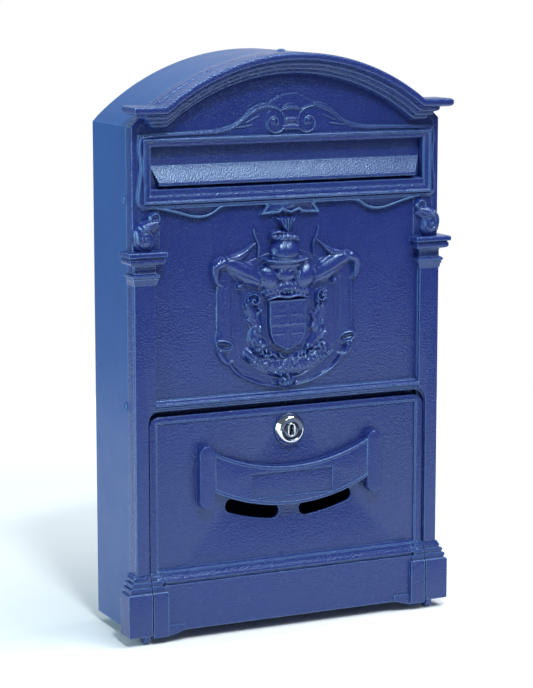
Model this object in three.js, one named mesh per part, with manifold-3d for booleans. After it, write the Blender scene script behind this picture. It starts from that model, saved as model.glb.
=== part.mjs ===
// A wall mounted letter box.
// A cast front, drawn like a small arched doorway, closes a folded sheet body.
// Letters go in under a flap that lifts on a rod, and come out of a lockable door that drops on two pins.
// +X is to the right seen from the front, the front faces -Y, +Z is up, and all lengths are millimetres.
// Heights below are above the foot of the corner blocks; the whole group is then lowered to its origin,
// which is on the wall side of the back panel.
import * as THREE from "three";
import { mergeVertices } from "three/addons/utils/BufferGeometryUtils.js";
import Module from "manifold-3d";

const wasm = await Module();
wasm.setup();

// ---------------------------------------------------------------- driving dimensions
const ORIGIN_HEIGHT = 200; // the origin, above the foot of the corner blocks
const GAP = 0.3; // between pieces that touch
const HALF_PI = Math.PI / 2;

// Sheet body
const BODY_HALF = 120;
const ARCH_SPRING = 358; // where the straight sides end
const ARCH_TOP = 407;
const SHEET = 1;
const SEAM_Y = -62.5; // the cast front's back edge, where the sheet begins
const TRAY_DEPTH = 10; // the back panel's turned edge

// Cast front
const FACE_Y = -73;
const WALL = 3;
const FLANGE_BACK_Y = -52.5; // the flange that reaches into the sheet body
const FLANGE_WALL = 2.4;
const PANEL_Y = -71.5; // the face of the shallow sunk panel that carries the crest
const PILASTER_INNER = 104;
const UPPER_PANEL_INNER = 99.7; // the panel is narrower beside the volutes
const PANEL_SILL = 163;
const PANEL_HEAD = 302.4;
const PLATE_Y = -74.6; // the raised plate round the letter slot

// Cornice: horizontal tips joined by an arc, and steps below its top line
const CORNICE_RADIUS = 164;
const CORNICE_CENTRE = 243;
const CORNICE_LEVEL = 372.3;
const CORNICE_HALF = 123.5;
const CORNICE_STEPS = [
  { drop: 5.8, front: -88.5, short: 0 },
  { drop: 8.8, front: -85, short: 5.5 },
  { drop: 11.4, front: -81.5, short: 10 },
  { drop: 14, front: -78, short: 14 },
];

// Letter slot and its flap
const SLOT_HALF = 106.5;
const SLOT_FOOT = 314.5;
const SLOT_HEAD = 345.4;
const COLLAR_WALL = 2.5;
const COLLAR_BACK_Y = -60;
const BEAD_WIDTH = 4;
const BEAD_HALF = 112.6;
const BEAD_FOOT = 304.6;
const BEAD_HEAD = 349.6;
const FLAP_HALF = 105.6;
const FLAP_FRONT_Y = -68.5;
const FLAP_BACK_Y = -66.5;
const FLAP_FOOT = 316.6;
const FLAP_AXIS = { y: -66, z: 342.3 };
const FLAP_ROD_RADIUS = 1.5;
const FLAP_KNUCKLE_RADIUS = 2.8;
const CLIP_RADIUS = 3.6;
const CLIP_WALL = 0.8;
const CLIP_X = SLOT_HALF + COLLAR_WALL + GAP;

// Door, its opening and its pins
const OPENING_HALF = 109.8;
const OPENING_HEAD = 159;
const OPENING_CORNER = 9;
const DOOR_HALF = 109;
const DOOR_HEAD = 155.3;
const DOOR_FOOT = 1;
const DOOR_CORNER = 8;
const DOOR_FRONT_Y = -72.4; // the sunk field
const DOOR_BACK_Y = -69.4;
const DOOR_BORDER_Y = -73.6;
const FIELD_HALF = 103.5;
const FIELD_FOOT = 43.5;
const FIELD_HEAD = 151.3;
const DOOR_AXIS = { y: -73, z: -0.5 };
const DOOR_PIN_RADIUS = 2;

// Corner blocks of the plinth, from the foot up: top of each layer, how far it stands back from the block
const BLOCK_HALF = 127.8;
const BLOCK_INNER = 97.5;
const BLOCK_Y = -79.6;
const BLOCK_LAYERS = [
  { top: 30.6, back: 0, in: 0 },
  { top: 34, back: 1.5, in: 1.6 },
  { top: 38.4, back: 2.9, in: 3.2 },
  { top: 42.4, back: 4.2, in: 6.2 },
];

// Lock
const LOCK_Z = 138.4;
const BEZEL_RADIUS = 11.7;
const BARREL_RADIUS = 9.3;
const PLUG_RADIUS = 5.8;
const BARREL_BACK_Y = -52;

const COLOURS = {
  casting: new THREE.MeshStandardMaterial({ color: 0x33468f, roughness: 0.42, metalness: 0.1 }),
  sheet: new THREE.MeshStandardMaterial({ color: 0x3b569b, roughness: 0.35, metalness: 0.1 }),
  chrome: new THREE.MeshStandardMaterial({ color: 0xc9ccd2, roughness: 0.12, metalness: 1 }),
  zinc: new THREE.MeshStandardMaterial({ color: 0xa9a9a4, roughness: 0.35, metalness: 1 }),
};

// ---------------------------------------------------------------- solids
// A closed three.js geometry as a solid that can be joined and cut.
function solid(geometry) {
  const bare = geometry.clone();
  bare.deleteAttribute("normal");
  bare.deleteAttribute("uv");
  const merged = mergeVertices(bare, 1e-4);
  return new wasm.Manifold(
    new wasm.Mesh({
      numProp: 3,
      vertProperties: merged.attributes.position.array,
      triVerts: new Uint32Array(merged.index.array),
    }),
  );
}

function mesh(name, made, material) {
  const { vertProperties, triVerts } = made.getMesh();
  const geometry = new THREE.BufferGeometry();
  geometry.setAttribute("position", new THREE.BufferAttribute(vertProperties, 3));
  geometry.setIndex(new THREE.BufferAttribute(triVerts, 1));
  geometry.computeVertexNormals();
  const result = new THREE.Mesh(geometry, material);
  result.name = name;
  return result;
}

const join = (parts) => parts.reduce((whole, part) => whole.add(part));
const cut = (whole, tools) => tools.reduce((left, tool) => left.subtract(tool), whole);

function box(x0, x1, y0, y1, z0, z1) {
  const geometry = new THREE.BoxGeometry(x1 - x0, y1 - y0, z1 - z0);
  geometry.translate((x0 + x1) / 2, (y0 + y1) / 2, (z0 + z1) / 2);
  return solid(geometry);
}

// The same box on the left and on the right of the middle.
const boxes = (x0, x1, ...rest) => join([box(x0, x1, ...rest), box(-x1, -x0, ...rest)]);

// An outline in X-Z, thick from y = back forward to y = front.
function slab(outline, back, front, curveSegments = 10) {
  const depth = back - front;
  const geometry = new THREE.ExtrudeGeometry(outline, { depth, bevelEnabled: false, curveSegments });
  geometry.rotateX(HALF_PI);
  geometry.translate(0, back, 0);
  return solid(geometry);
}

// An outline in Y-Z, drawn along X.
function bar(points, x0, x1) {
  const outline = new THREE.Shape(points.map(([y, z]) => new THREE.Vector2(y, z)));
  const geometry = new THREE.ExtrudeGeometry(outline, { depth: x1 - x0, bevelEnabled: false });
  geometry.rotateX(HALF_PI);
  geometry.rotateZ(HALF_PI);
  geometry.translate(x0, 0, 0);
  return solid(geometry);
}

function rodAlongX(radius, x0, x1, y, z, segments = 20) {
  const geometry = new THREE.CylinderGeometry(radius, radius, x1 - x0, segments);
  geometry.rotateZ(HALF_PI);
  geometry.translate((x0 + x1) / 2, y, z);
  return solid(geometry);
}

function discAlongY(radius, back, front, x, z, segments = 24) {
  const geometry = new THREE.CylinderGeometry(radius, radius, back - front, segments);
  geometry.translate(x, (back + front) / 2, z);
  return solid(geometry);
}

// A profile of [radius, along] points turned about the axis that `along` runs on, which starts as +Y.
function turned(points, segments = 20) {
  return new THREE.LatheGeometry(points.map(([r, a]) => new THREE.Vector2(r, a)), segments);
}

const mirrored = (made) => made.mirror([1, 0, 0]);
const pair = (made) => join([made, mirrored(made)]);

// ---------------------------------------------------------------- outlines
const ARCH_RISE = ARCH_TOP - ARCH_SPRING;
const ARCH_RADIUS = (BODY_HALF ** 2 + ARCH_RISE ** 2) / (2 * ARCH_RISE);
const ARCH_CENTRE = ARCH_TOP - ARCH_RADIUS;

// The body's outline, moved inwards by `inset`, with its foot at `foot`.
function bodyOutline(inset, foot = inset) {
  const half = BODY_HALF - inset;
  const radius = ARCH_RADIUS - inset;
  const spread = Math.asin(half / radius);
  const outline = new THREE.Shape();
  outline.moveTo(-half, foot);
  outline.lineTo(half, foot);
  outline.absarc(0, ARCH_CENTRE, radius, HALF_PI - spread, HALF_PI + spread, false);
  return outline;
}

function ring(outer, inner) {
  outer.holes.push(inner);
  return outer;
}

function rectangle(half, foot, head, corner = 0) {
  const outline = new THREE.Shape();
  outline.moveTo(-half, foot);
  outline.lineTo(half, foot);
  if (corner === 0) {
    outline.lineTo(half, head);
    outline.lineTo(-half, head);
    return outline;
  }
  outline.absarc(half - corner, head - corner, corner, 0, HALF_PI, false);
  outline.absarc(corner - half, head - corner, corner, HALF_PI, Math.PI, false);
  return outline;
}

// The band between the cornice's top line and the same line moved down by `drop`.
function corniceBand({ drop, short }) {
  const tip = CORNICE_HALF - short;
  const radius = CORNICE_RADIUS - drop;
  const level = CORNICE_LEVEL - drop;
  const outerSpread = Math.acos((CORNICE_LEVEL - CORNICE_CENTRE) / CORNICE_RADIUS);
  const innerSpread = Math.acos((level - CORNICE_CENTRE) / radius);
  const outline = new THREE.Shape();
  outline.moveTo(tip, level);
  outline.lineTo(tip, CORNICE_LEVEL);
  outline.absarc(0, CORNICE_CENTRE, CORNICE_RADIUS, HALF_PI - outerSpread, HALF_PI + outerSpread, false);
  outline.lineTo(-tip, CORNICE_LEVEL);
  outline.lineTo(-tip, level);
  outline.absarc(0, CORNICE_CENTRE, radius, HALF_PI + innerSpread, HALF_PI - innerSpread, true);
  return outline;
}

// The window in the face that shows the sunk panel.
function panelWindow() {
  const outline = new THREE.Shape();
  const step = 271;
  outline.moveTo(-PILASTER_INNER, PANEL_SILL);
  outline.lineTo(PILASTER_INNER, PANEL_SILL);
  outline.lineTo(PILASTER_INNER, step);
  outline.lineTo(UPPER_PANEL_INNER, step);
  outline.lineTo(UPPER_PANEL_INNER, PANEL_HEAD);
  outline.lineTo(-UPPER_PANEL_INNER, PANEL_HEAD);
  outline.lineTo(-UPPER_PANEL_INNER, step);
  outline.lineTo(-PILASTER_INNER, step);
  return outline;
}

// The scalloped apron that hangs below the raised plate, with a tab at its middle.
function apron() {
  const head = 303;
  const outline = new THREE.Shape();
  outline.moveTo(-104, head);
  outline.lineTo(-104, 301.5);
  outline.splineThru([
    new THREE.Vector2(-84, 297.5),
    new THREE.Vector2(-67, 293.8),
    new THREE.Vector2(-51, 300.8),
  ]);
  outline.lineTo(-18.5, 301);
  outline.lineTo(-22.5, 294);
  outline.lineTo(-6, 294.6);
  outline.lineTo(0, 296.6);
  outline.lineTo(6, 294.6);
  outline.lineTo(22.5, 294);
  outline.lineTo(18.5, 301);
  outline.lineTo(51, 300.8);
  outline.splineThru([
    new THREE.Vector2(67, 293.8),
    new THREE.Vector2(84, 297.5),
    new THREE.Vector2(104, 301.5),
  ]);
  outline.lineTo(104, head);
  return outline;
}

// The raised plate round the letter slot: an ogee head and waved sides.
function headerPlate() {
  const foot = 302;
  const outline = new THREE.Shape();
  outline.moveTo(-113, foot);
  outline.lineTo(113, foot);
  outline.splineThru([
    new THREE.Vector2(117.5, 309),
    new THREE.Vector2(115, 330),
    new THREE.Vector2(116.3, 345),
    new THREE.Vector2(114, 352.6),
  ]);
  outline.lineTo(55, 355.4);
  outline.splineThru([
    new THREE.Vector2(45, 358),
    new THREE.Vector2(32, 365.4),
    new THREE.Vector2(22, 369.5),
  ]);
  outline.lineTo(-22, 369.5);
  outline.splineThru([
    new THREE.Vector2(-32, 365.4),
    new THREE.Vector2(-45, 358),
    new THREE.Vector2(-55, 355.4),
  ]);
  outline.lineTo(-114, 352.6);
  outline.splineThru([
    new THREE.Vector2(-116.3, 345),
    new THREE.Vector2(-115, 330),
    new THREE.Vector2(-117.5, 309),
    new THREE.Vector2(-113, foot),
  ]);
  return outline;
}

// ---------------------------------------------------------------- cast front
const RIVET_Y = -58.5;
const RIVET_SHANK = 2;
const RIVET_HEIGHTS = { upper: 308, lower: 162 };
const BOTTOM_RIVET_X = 60;

function face() {
  const plate = slab(bodyOutline(0), FACE_Y + WALL, FACE_Y, 24);
  return cut(plate, [
    slab(panelWindow(), FACE_Y + 5, FACE_Y - 5),
    slab(rectangle(SLOT_HALF, SLOT_FOOT, SLOT_HEAD), FACE_Y + 5, FACE_Y - 5),
  ]);
}

function rimAndFlange() {
  const rim = slab(ring(bodyOutline(0), bodyOutline(WALL)), SEAM_Y, FACE_Y, 24);
  const outside = SHEET + 0.4;
  const flange = ring(bodyOutline(outside), bodyOutline(outside + FLANGE_WALL));
  return join([rim, slab(flange, FLANGE_BACK_Y, SEAM_Y - 1, 24)]);
}

function sunkPanel() {
  const back = PANEL_Y + WALL;
  const sill = [
    [back, 157],
    [back, 167],
    [PANEL_Y - 0.6, 167],
    [-75, 166],
    [-76.2, 164.2],
    [-75.6, 161.6],
    [FACE_Y - 0.4, 160.4],
    [FACE_Y - 0.4, 157],
  ];
  return join([
    box(-PILASTER_INNER - 2, PILASTER_INNER + 2, PANEL_Y, back - 0.2, 156, PANEL_HEAD + 2),
    bar(sill.reverse(), -PILASTER_INNER - 1, PILASTER_INNER + 1),
  ]);
}

function slotSurround() {
  const collar = ring(
    rectangle(SLOT_HALF + COLLAR_WALL, SLOT_FOOT - COLLAR_WALL, SLOT_HEAD + COLLAR_WALL),
    rectangle(SLOT_HALF, SLOT_FOOT, SLOT_HEAD),
  );
  const bead = ring(
    rectangle(BEAD_HALF, BEAD_FOOT, BEAD_HEAD, 0.5),
    rectangle(BEAD_HALF - BEAD_WIDTH, BEAD_FOOT + BEAD_WIDTH, BEAD_HEAD - BEAD_WIDTH),
  );
  const sill = [
    [FACE_Y + 1, SLOT_FOOT],
    [FACE_Y - 3.2, BEAD_FOOT + BEAD_WIDTH],
    [FACE_Y + 1, BEAD_FOOT + BEAD_WIDTH - 0.5],
  ];
  return join([
    slab(collar, COLLAR_BACK_Y, FACE_Y),
    slab(bead, FACE_Y + 1, FACE_Y - 4),
    bar(sill, -SLOT_HALF - 2, SLOT_HALF + 2),
    slab(apron(), PANEL_Y + 1, PLATE_Y - 0.3),
    boxes(96, SLOT_HALF + 1, FLAP_BACK_Y + GAP, FLAP_BACK_Y + GAP + 2.5, SLOT_FOOT - 2, SLOT_FOOT + 5),
    cut(slab(headerPlate(), FACE_Y + 1, PLATE_Y), [
      box(-SLOT_HALF, SLOT_HALF, FACE_Y - 9, FACE_Y + 9, SLOT_FOOT, SLOT_HEAD),
    ]),
  ]);
}

// The space inside the rim and behind the face, which the outside mouldings leave open.
function insideTheRim() {
  return slab(bodyOutline(WALL - 0.5), SEAM_Y + 5, FACE_Y + WALL - 0.6, 24);
}

function cornice() {
  const bands = CORNICE_STEPS.map((step) => slab(corniceBand(step), SEAM_Y, step.front, 28));
  return cut(join(bands), [insideTheRim()]);
}

// Two scrolls with a shell between them, over the letter slot.
function slotCrown() {
  const shell = new THREE.Shape();
  shell.moveTo(-22, 357);
  shell.lineTo(22, 357);
  shell.splineThru([
    new THREE.Vector2(16, 372),
    new THREE.Vector2(0, 378),
    new THREE.Vector2(-16, 372),
    new THREE.Vector2(-22, 357),
  ]);
  return join([
    slab(shell, FACE_Y + 1, FACE_Y - 3),
    pair(discAlongY(8.6, FACE_Y + 1, FACE_Y - 5.5, 12.8, 360.2)),
  ]);
}

// A capital on each pilaster, and the two rolls of the volute above it.
function capitals() {
  const layers = [
    { x: [98.2, 126.3], z: [265.6, 271.8], front: -82 },
    { x: [100.5, 123.8], z: [262, 266], front: -80 },
    { x: [103.5, 121], z: [254.5, 263], front: -75.5 },
    { x: [102.5, 122], z: [250.2, 255.2], front: -77.5 },
  ];
  const volute = join([
    discAlongY(5, FACE_Y + 1, -77.5, 104.5, 294.6),
    discAlongY(7.2, FACE_Y + 1, -79.5, 113, 281.2),
    box(104, 113, -77.5, FACE_Y + 1, 284, 291.5),
    box(108, 118, -76, FACE_Y + 1, 270, 281),
  ]);
  const slabs = layers.map(({ x, z, front }) => boxes(x[0], x[1], front, SEAM_Y, z[0], z[1]));
  return join([cut(join(slabs), [insideTheRim()]), pair(volute)]);
}

// The layers of a corner block between x0 and x1; `side` says which flank steps in.
function blockLayers(x0, x1, side, back, foot) {
  let from = foot;
  return BLOCK_LAYERS.map((layer) => {
    const inner = side === "outer" ? x0 : x0 + layer.in;
    const outer = side === "outer" ? x1 - layer.in : x1;
    const made = boxes(inner, outer, BLOCK_Y + layer.back, back, from, layer.top);
    from = layer.top - 0.5;
    return made;
  });
}

const EAR = { x0: 111, x1: 115.6, radius: 5.8 };

function plinthAndEars() {
  const ears = pair(rodAlongX(EAR.radius, EAR.x0, EAR.x1, DOOR_AXIS.y, DOOR_AXIS.z, 24));
  const blocks = join(blockLayers(OPENING_HALF, BLOCK_HALF, "outer", SEAM_Y - 0.8, 0));
  const stopBack = DOOR_BACK_Y + GAP + 2.5;
  return join([
    cut(blocks, [insideTheRim()]),
    ears,
    boxes(106, 118.5, DOOR_BACK_Y + GAP, stopBack, 8, OPENING_HEAD + 2),
    boxes(OPENING_HALF + 0.6, 118.5, FACE_Y + WALL - 0.8, stopBack - 0.4, 8.4, OPENING_HEAD + 1.6),
  ]);
}

function frontCasting() {
  const strike = box(-11, 11, PANEL_Y + 1, CAM.front - 0.8, PANEL_SILL - 2, PANEL_SILL + 5);
  const whole = join([
    face(),
    rimAndFlange(),
    sunkPanel(),
    slotSurround(),
    cornice(),
    slotCrown(),
    capitals(),
    strike,
  ]);
  const doorway = rectangle(OPENING_HALF, -20, OPENING_HEAD, OPENING_CORNER);
  const opened = cut(whole, [slab(doorway, -67, -95)]);
  const rivetHoles = [
    ...Object.values(RIVET_HEIGHTS).flatMap((z) => [
      rodAlongX(RIVET_SHANK + GAP, 110, 125, RIVET_Y, z, 16),
      rodAlongX(RIVET_SHANK + GAP, -125, -110, RIVET_Y, z, 16),
    ]),
    verticalRod(RIVET_SHANK + GAP, 0, RIVET_Y, 395, 412),
    verticalRod(RIVET_SHANK + GAP, BOTTOM_RIVET_X, RIVET_Y, -3, 8),
    verticalRod(RIVET_SHANK + GAP, -BOTTOM_RIVET_X, RIVET_Y, -3, 8),
  ];
  return cut(join([opened, plinthAndEars()]), [
    pair(rodAlongX(DOOR_PIN_RADIUS + GAP, 105, EAR.x1 + 0.2, DOOR_AXIS.y, DOOR_AXIS.z)),
    rodAlongX(FLAP_ROD_RADIUS + GAP, -112.5, 112.5, FLAP_AXIS.y, FLAP_AXIS.z),
    pair(rodAlongX(CLIP_RADIUS + 0.6, CLIP_X - GAP, CLIP_X + 2, FLAP_AXIS.y, FLAP_AXIS.z)),
    ...rivetHoles,
  ]);
}

function verticalRod(radius, x, y, z0, z1, segments = 16) {
  const geometry = new THREE.CylinderGeometry(radius, radius, z1 - z0, segments);
  geometry.rotateX(HALF_PI);
  geometry.translate(x, y, (z0 + z1) / 2);
  return solid(geometry);
}

// ---------------------------------------------------------------- crest
// A generic heraldic ornament: a cloak knotted at both shoulders, a closed helmet and a plain shield.
// Each swelling is [x, z, half width, half height, how far it stands out, tilt].
const CREST_X = -2.6;
const CREST_MIDDLE = [
  [0, 288, 10, 5.4, 4.5, 0],
  [0, 281, 11, 4, 5.5, 0],
  [0, 267, 14.5, 11, 9, 0],
  [0, 260, 18, 3, 6.5, 0],
  [0, 240, 17, 6, 5.5, 0],
  [0, 189, 25, 8, 5.5, 0],
  [0, 174, 8, 5, 6, 0],
];
const CREST_RIGHT = [
  [13, 252, 11, 8, 6.5, -0.3],
  [41, 262, 17, 7, 6, 0],
  [29, 273, 3.2, 12, 3.4, 0.35],
  [54, 258, 7, 8, 7.5, 0],
  [55, 228, 4.6, 24, 6.5, 0],
  [45, 224, 3.6, 27, 4.2, 0],
  [55, 203, 6.6, 4.6, 7, 0.3],
  [49, 193, 7, 3.6, 4.6, -0.6],
  [36.5, 245, 2.6, 2.6, 5.4, 0],
  [29, 232, 6.5, 7, 7, 0.3],
  [28, 216, 6, 12, 6, -0.15],
  [26, 199, 8, 6, 5, 0.5],
  [33, 183, 15, 3, 3.8, -0.62],
  [14, 175.5, 14, 2.6, 3.6, -0.24],
];

function swelling([x, z, halfWidth, halfHeight, out, tilt]) {
  const geometry = new THREE.SphereGeometry(1, 12, 8);
  geometry.scale(halfWidth, out, halfHeight);
  geometry.rotateY(tilt);
  geometry.translate(x, PANEL_Y - GAP, z);
  return solid(geometry);
}

function crest() {
  const back = PANEL_Y - GAP;
  const right = [
    [9, 290],
    [12, 277],
    [24, 268],
    [40, 267],
    [55, 262],
    [57, 250],
    [55, 206],
    [50, 192],
    [30, 178],
    [12, 171],
  ];
  const left = right.map(([x, z]) => [-x, z]).reverse();
  const cloak = new THREE.Shape([...left, ...right].map(([x, z]) => new THREE.Vector2(x, z)));
  const shield = new THREE.Shape();
  shield.moveTo(-16.5, 234);
  shield.lineTo(-16.5, 206);
  shield.quadraticCurveTo(-15, 198, 0, 195);
  shield.quadraticCurveTo(15, 198, 16.5, 206);
  shield.lineTo(16.5, 234);
  const quarters = [box(-0.7, 0.7, back - 8, back - 6, 196, 233), box(-16, 16, back - 8, back - 6, 214.5, 216)];
  const whole = join([
    slab(cloak, back, back - 1.6),
    slab(shield, back - 1, back - 6, 6),
    ...quarters.map((bar) => bar.translate([0, 0.9, 0])),
    ...CREST_MIDDLE.map(swelling),
    ...CREST_RIGHT.map((shape) => pair(swelling(shape))),
  ]);
  return cut(whole, [box(-80, 80, back, back + 20, 150, 310)]).translate([CREST_X, 0, 0]);
}

// ---------------------------------------------------------------- sheet body
const RIVET_BORE = RIVET_SHANK + GAP;

function bodyWrap() {
  const strip = slab(ring(bodyOutline(0, 0), bodyOutline(SHEET)), 0, SEAM_Y + GAP, 24);
  return cut(strip, [
    box(-BODY_HALF + SHEET, BODY_HALF - SHEET, SEAM_Y - 5, 5, -5, SHEET + 1),
    ...Object.values(RIVET_HEIGHTS).map((z) => rodAlongX(RIVET_BORE, -125, 125, RIVET_Y, z, 16)),
    verticalRod(RIVET_BORE, 0, RIVET_Y, 395, 412),
  ]);
}

const WALL_HOLE = { x: 75, low: 38, high: 330, radius: 4 };

function backPanel() {
  const inset = SHEET + GAP;
  const foot = 2 * SHEET + GAP;
  const plate = slab(bodyOutline(inset, foot), 0, -SHEET, 24);
  const edge = ring(bodyOutline(inset, foot), bodyOutline(inset + SHEET, foot + SHEET));
  const holes = [WALL_HOLE.low, WALL_HOLE.high].map((z) =>
    pair(discAlongY(WALL_HOLE.radius, 5, -5, WALL_HOLE.x, z, 20)),
  );
  return cut(join([plate, slab(edge, 0, -TRAY_DEPTH, 24)]), holes);
}

function bottomPanel() {
  const half = BODY_HALF - SHEET - GAP;
  const front = FLANGE_BACK_Y + GAP;
  const tongue = SEAM_Y + GAP;
  const sheet = join([
    box(-half, half, tongue, 0, 0, SHEET),
    boxes(half - SHEET, half, front, -TRAY_DEPTH - GAP, 0, 12),
  ]);
  return cut(sheet, [
    verticalRod(RIVET_BORE, BOTTOM_RIVET_X, RIVET_Y, -3, 8),
    verticalRod(RIVET_BORE, -BOTTOM_RIVET_X, RIVET_Y, -3, 8),
  ]);
}

// A blind rivet along +Y: a domed head outside the sheet and a swelled tail inside the flange.
function rivet(name, position, turn) {
  const head = GAP;
  const tail = -(0.4 + SHEET + FLANGE_WALL + GAP);
  const profile = [
    [0, tail - 2.4],
    [1.8, tail - 2.2],
    [2.8, tail - 1.2],
    [2.8, tail],
    [RIVET_SHANK, tail],
    [RIVET_SHANK, head],
    [3.2, head],
    [2.9, head + 0.6],
    [1.8, head + 1.1],
    [0, head + 1.3],
  ];
  const made = mesh(name, solid(turned(profile, 16)), COLOURS.sheet);
  made.position.set(...position);
  made.rotation.set(...turn);
  return made;
}

// ---------------------------------------------------------------- letter flap
function letterFlap() {
  const lip = [
    [FLAP_BACK_Y, 330.6],
    [FLAP_FRONT_Y, 330.6],
    [-74.4, 318.8],
    [-74, 317],
    [FLAP_BACK_Y, FLAP_FOOT],
  ];
  const taper = (side) => {
    const wedge = new THREE.BoxGeometry(20, 30, 30);
    wedge.translate(10, 0, 0);
    wedge.rotateY(side * -0.36);
    if (side < 0) wedge.rotateZ(Math.PI);
    wedge.translate(side * 104.3, FLAP_FRONT_Y - 15, 330.6);
    return solid(wedge);
  };
  const plate = box(-FLAP_HALF, FLAP_HALF, FLAP_FRONT_Y, FLAP_BACK_Y, FLAP_FOOT, FLAP_AXIS.z);
  const nose = cut(bar(lip, -FLAP_HALF, FLAP_HALF), [taper(1), taper(-1)]);
  const knuckle = rodAlongX(FLAP_KNUCKLE_RADIUS, -FLAP_HALF, FLAP_HALF, FLAP_AXIS.y, FLAP_AXIS.z);
  return cut(join([plate, nose, knuckle]), [
    rodAlongX(FLAP_ROD_RADIUS + GAP, -110, 110, FLAP_AXIS.y, FLAP_AXIS.z),
  ]);
}

// A push-on ring that keeps the flap's rod in the collar.
function rodClip() {
  const outer = rodAlongX(CLIP_RADIUS, 0, CLIP_WALL, 0, 0);
  return cut(outer, [rodAlongX(FLAP_ROD_RADIUS + GAP, -1, 2, 0, 0), box(-1, 2, -0.8, 0.8, -5, 0)]);
}

// ---------------------------------------------------------------- door
const NAME_BAND = { half: 66, foot: 84, head: 112.6, radius: 137, front: -78.4 };
const SLOT_ARC = { radius: 137, centre: 215.5, from: 8, to: 50.5, half: 5.2 };

function nameBand() {
  const { half, foot, head, radius } = NAME_BAND;
  const low = foot + radius;
  const high = head + radius;
  const spread = Math.asin(half / radius);
  const outline = new THREE.Shape();
  outline.absarc(0, low, radius, -HALF_PI - spread, -HALF_PI + spread, false);
  outline.absarc(0, high, radius, -HALF_PI + spread, -HALF_PI - spread, true);
  const posts = [-1, 1].map((side) => {
    const post = new THREE.Shape();
    const r = 6.1;
    post.absarc(side * 66.6, 92.6, r, Math.PI, 2 * Math.PI, false);
    post.absarc(side * 66.6, 126.6, r, 0, Math.PI, false);
    return slab(post, DOOR_FRONT_Y + 1, -79.4, 8);
  });
  const card = box(-32, 32, NAME_BAND.front - 2, NAME_BAND.front + 1.3, 91, 108.6);
  return join([cut(slab(outline, DOOR_FRONT_Y + 1, NAME_BAND.front, 16), [card]), ...posts]);
}

// A round-ended slot that follows an arc below the name band.
function viewSlot() {
  const { radius, centre, from, to, half } = SLOT_ARC;
  const start = Math.asin((from + half) / radius) - HALF_PI;
  const end = Math.asin((to - half) / radius) - HALF_PI;
  const endCentre = (angle) => [radius * Math.cos(angle), centre + radius * Math.sin(angle)];
  const outline = new THREE.Shape();
  outline.absarc(0, centre, radius + half, start, end, false);
  outline.absarc(...endCentre(end), half, end, end + Math.PI, false);
  outline.absarc(0, centre, radius - half, end, start, true);
  outline.absarc(...endCentre(start), half, start + Math.PI, start + 2 * Math.PI, false);
  return slab(outline, DOOR_BACK_Y + 5, -90, 8);
}

function doorCasting() {
  const back = DOOR_BACK_Y;
  const border = ring(
    rectangle(DOOR_HALF, 40, DOOR_HEAD, DOOR_CORNER),
    rectangle(FIELD_HALF, FIELD_FOOT, FIELD_HEAD),
  );
  const fascia = [
    [back, DOOR_FOOT],
    [-77, DOOR_FOOT],
    [-77, 32.6],
    [-78.8, 33.4],
    [-78.8, 36.4],
    [-77.4, 37.6],
    [-75.8, 42.6],
    [-75.2, 44.2],
    [-73.6, 44.2],
    [-73, 46],
    [back, 46],
  ];
  const knuckle = pair(rodAlongX(3.8, BLOCK_INNER + 0.5, DOOR_HALF, DOOR_AXIS.y, DOOR_AXIS.z));
  const foot = boxes(BLOCK_INNER, DOOR_HALF, BLOCK_Y, -70, -2, 5);
  const whole = join([
    slab(rectangle(DOOR_HALF, DOOR_FOOT, DOOR_HEAD, DOOR_CORNER), back, DOOR_FRONT_Y),
    slab(border, back, DOOR_BORDER_Y),
    bar(fascia.reverse(), -BLOCK_INNER - 1, BLOCK_INNER + 1),
    ...blockLayers(BLOCK_INNER, DOOR_HALF, "inner", back, DOOR_FOOT),
    foot,
    knuckle,
    nameBand(),
  ]);
  return cut(whole, [
    pair(viewSlot()),
    discAlongY(BARREL_RADIUS + GAP, -60, -80, 0, LOCK_Z, 32),
    pair(rodAlongX(DOOR_PIN_RADIUS + GAP, 97, 115, DOOR_AXIS.y, DOOR_AXIS.z)),
  ]);
}

// ---------------------------------------------------------------- lock
const LOCK_SEGMENTS = 32;
const BEZEL_BACK_Y = DOOR_FRONT_Y - GAP;

function lockHousing() {
  const front = BEZEL_BACK_Y;
  const profile = [
    [PLUG_RADIUS + GAP, BARREL_BACK_Y],
    [BARREL_RADIUS, BARREL_BACK_Y],
    [BARREL_RADIUS, front],
    [BEZEL_RADIUS, front],
    [BEZEL_RADIUS, front - 3.2],
    [BEZEL_RADIUS - 1.4, front - 5],
    [BEZEL_RADIUS - 3, front - 5],
    [PLUG_RADIUS + 1.4, front - 3.9],
    [PLUG_RADIUS + GAP, front - 3.9],
    [PLUG_RADIUS + GAP, BARREL_BACK_Y],
  ];
  const made = turned(profile.reverse(), LOCK_SEGMENTS);
  made.translate(0, 0, LOCK_Z);
  return solid(made);
}

function lockNut() {
  const nut = discAlongY(14, -64, DOOR_BACK_Y + GAP, 0, LOCK_Z, 6);
  return cut(nut, [discAlongY(BARREL_RADIUS + GAP, -50, -80, 0, LOCK_Z, LOCK_SEGMENTS)]);
}

const PLUG_FRONT_Y = BEZEL_BACK_Y - 4.1;
const CAM = { front: -51.4, back: -49.2, reach: 31, width: 13 };

function lockPlug() {
  const plug = discAlongY(PLUG_RADIUS, CAM.front - GAP, PLUG_FRONT_Y, 0, LOCK_Z, 28);
  return cut(plug, [
    box(-1.1, 1.1, PLUG_FRONT_Y - 1, PLUG_FRONT_Y + 14, LOCK_Z - 3.9, LOCK_Z + 3.9),
    discAlongY(1.5 + GAP, -45, CAM.front - 7.5, 0, LOCK_Z, 16),
  ]);
}

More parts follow.
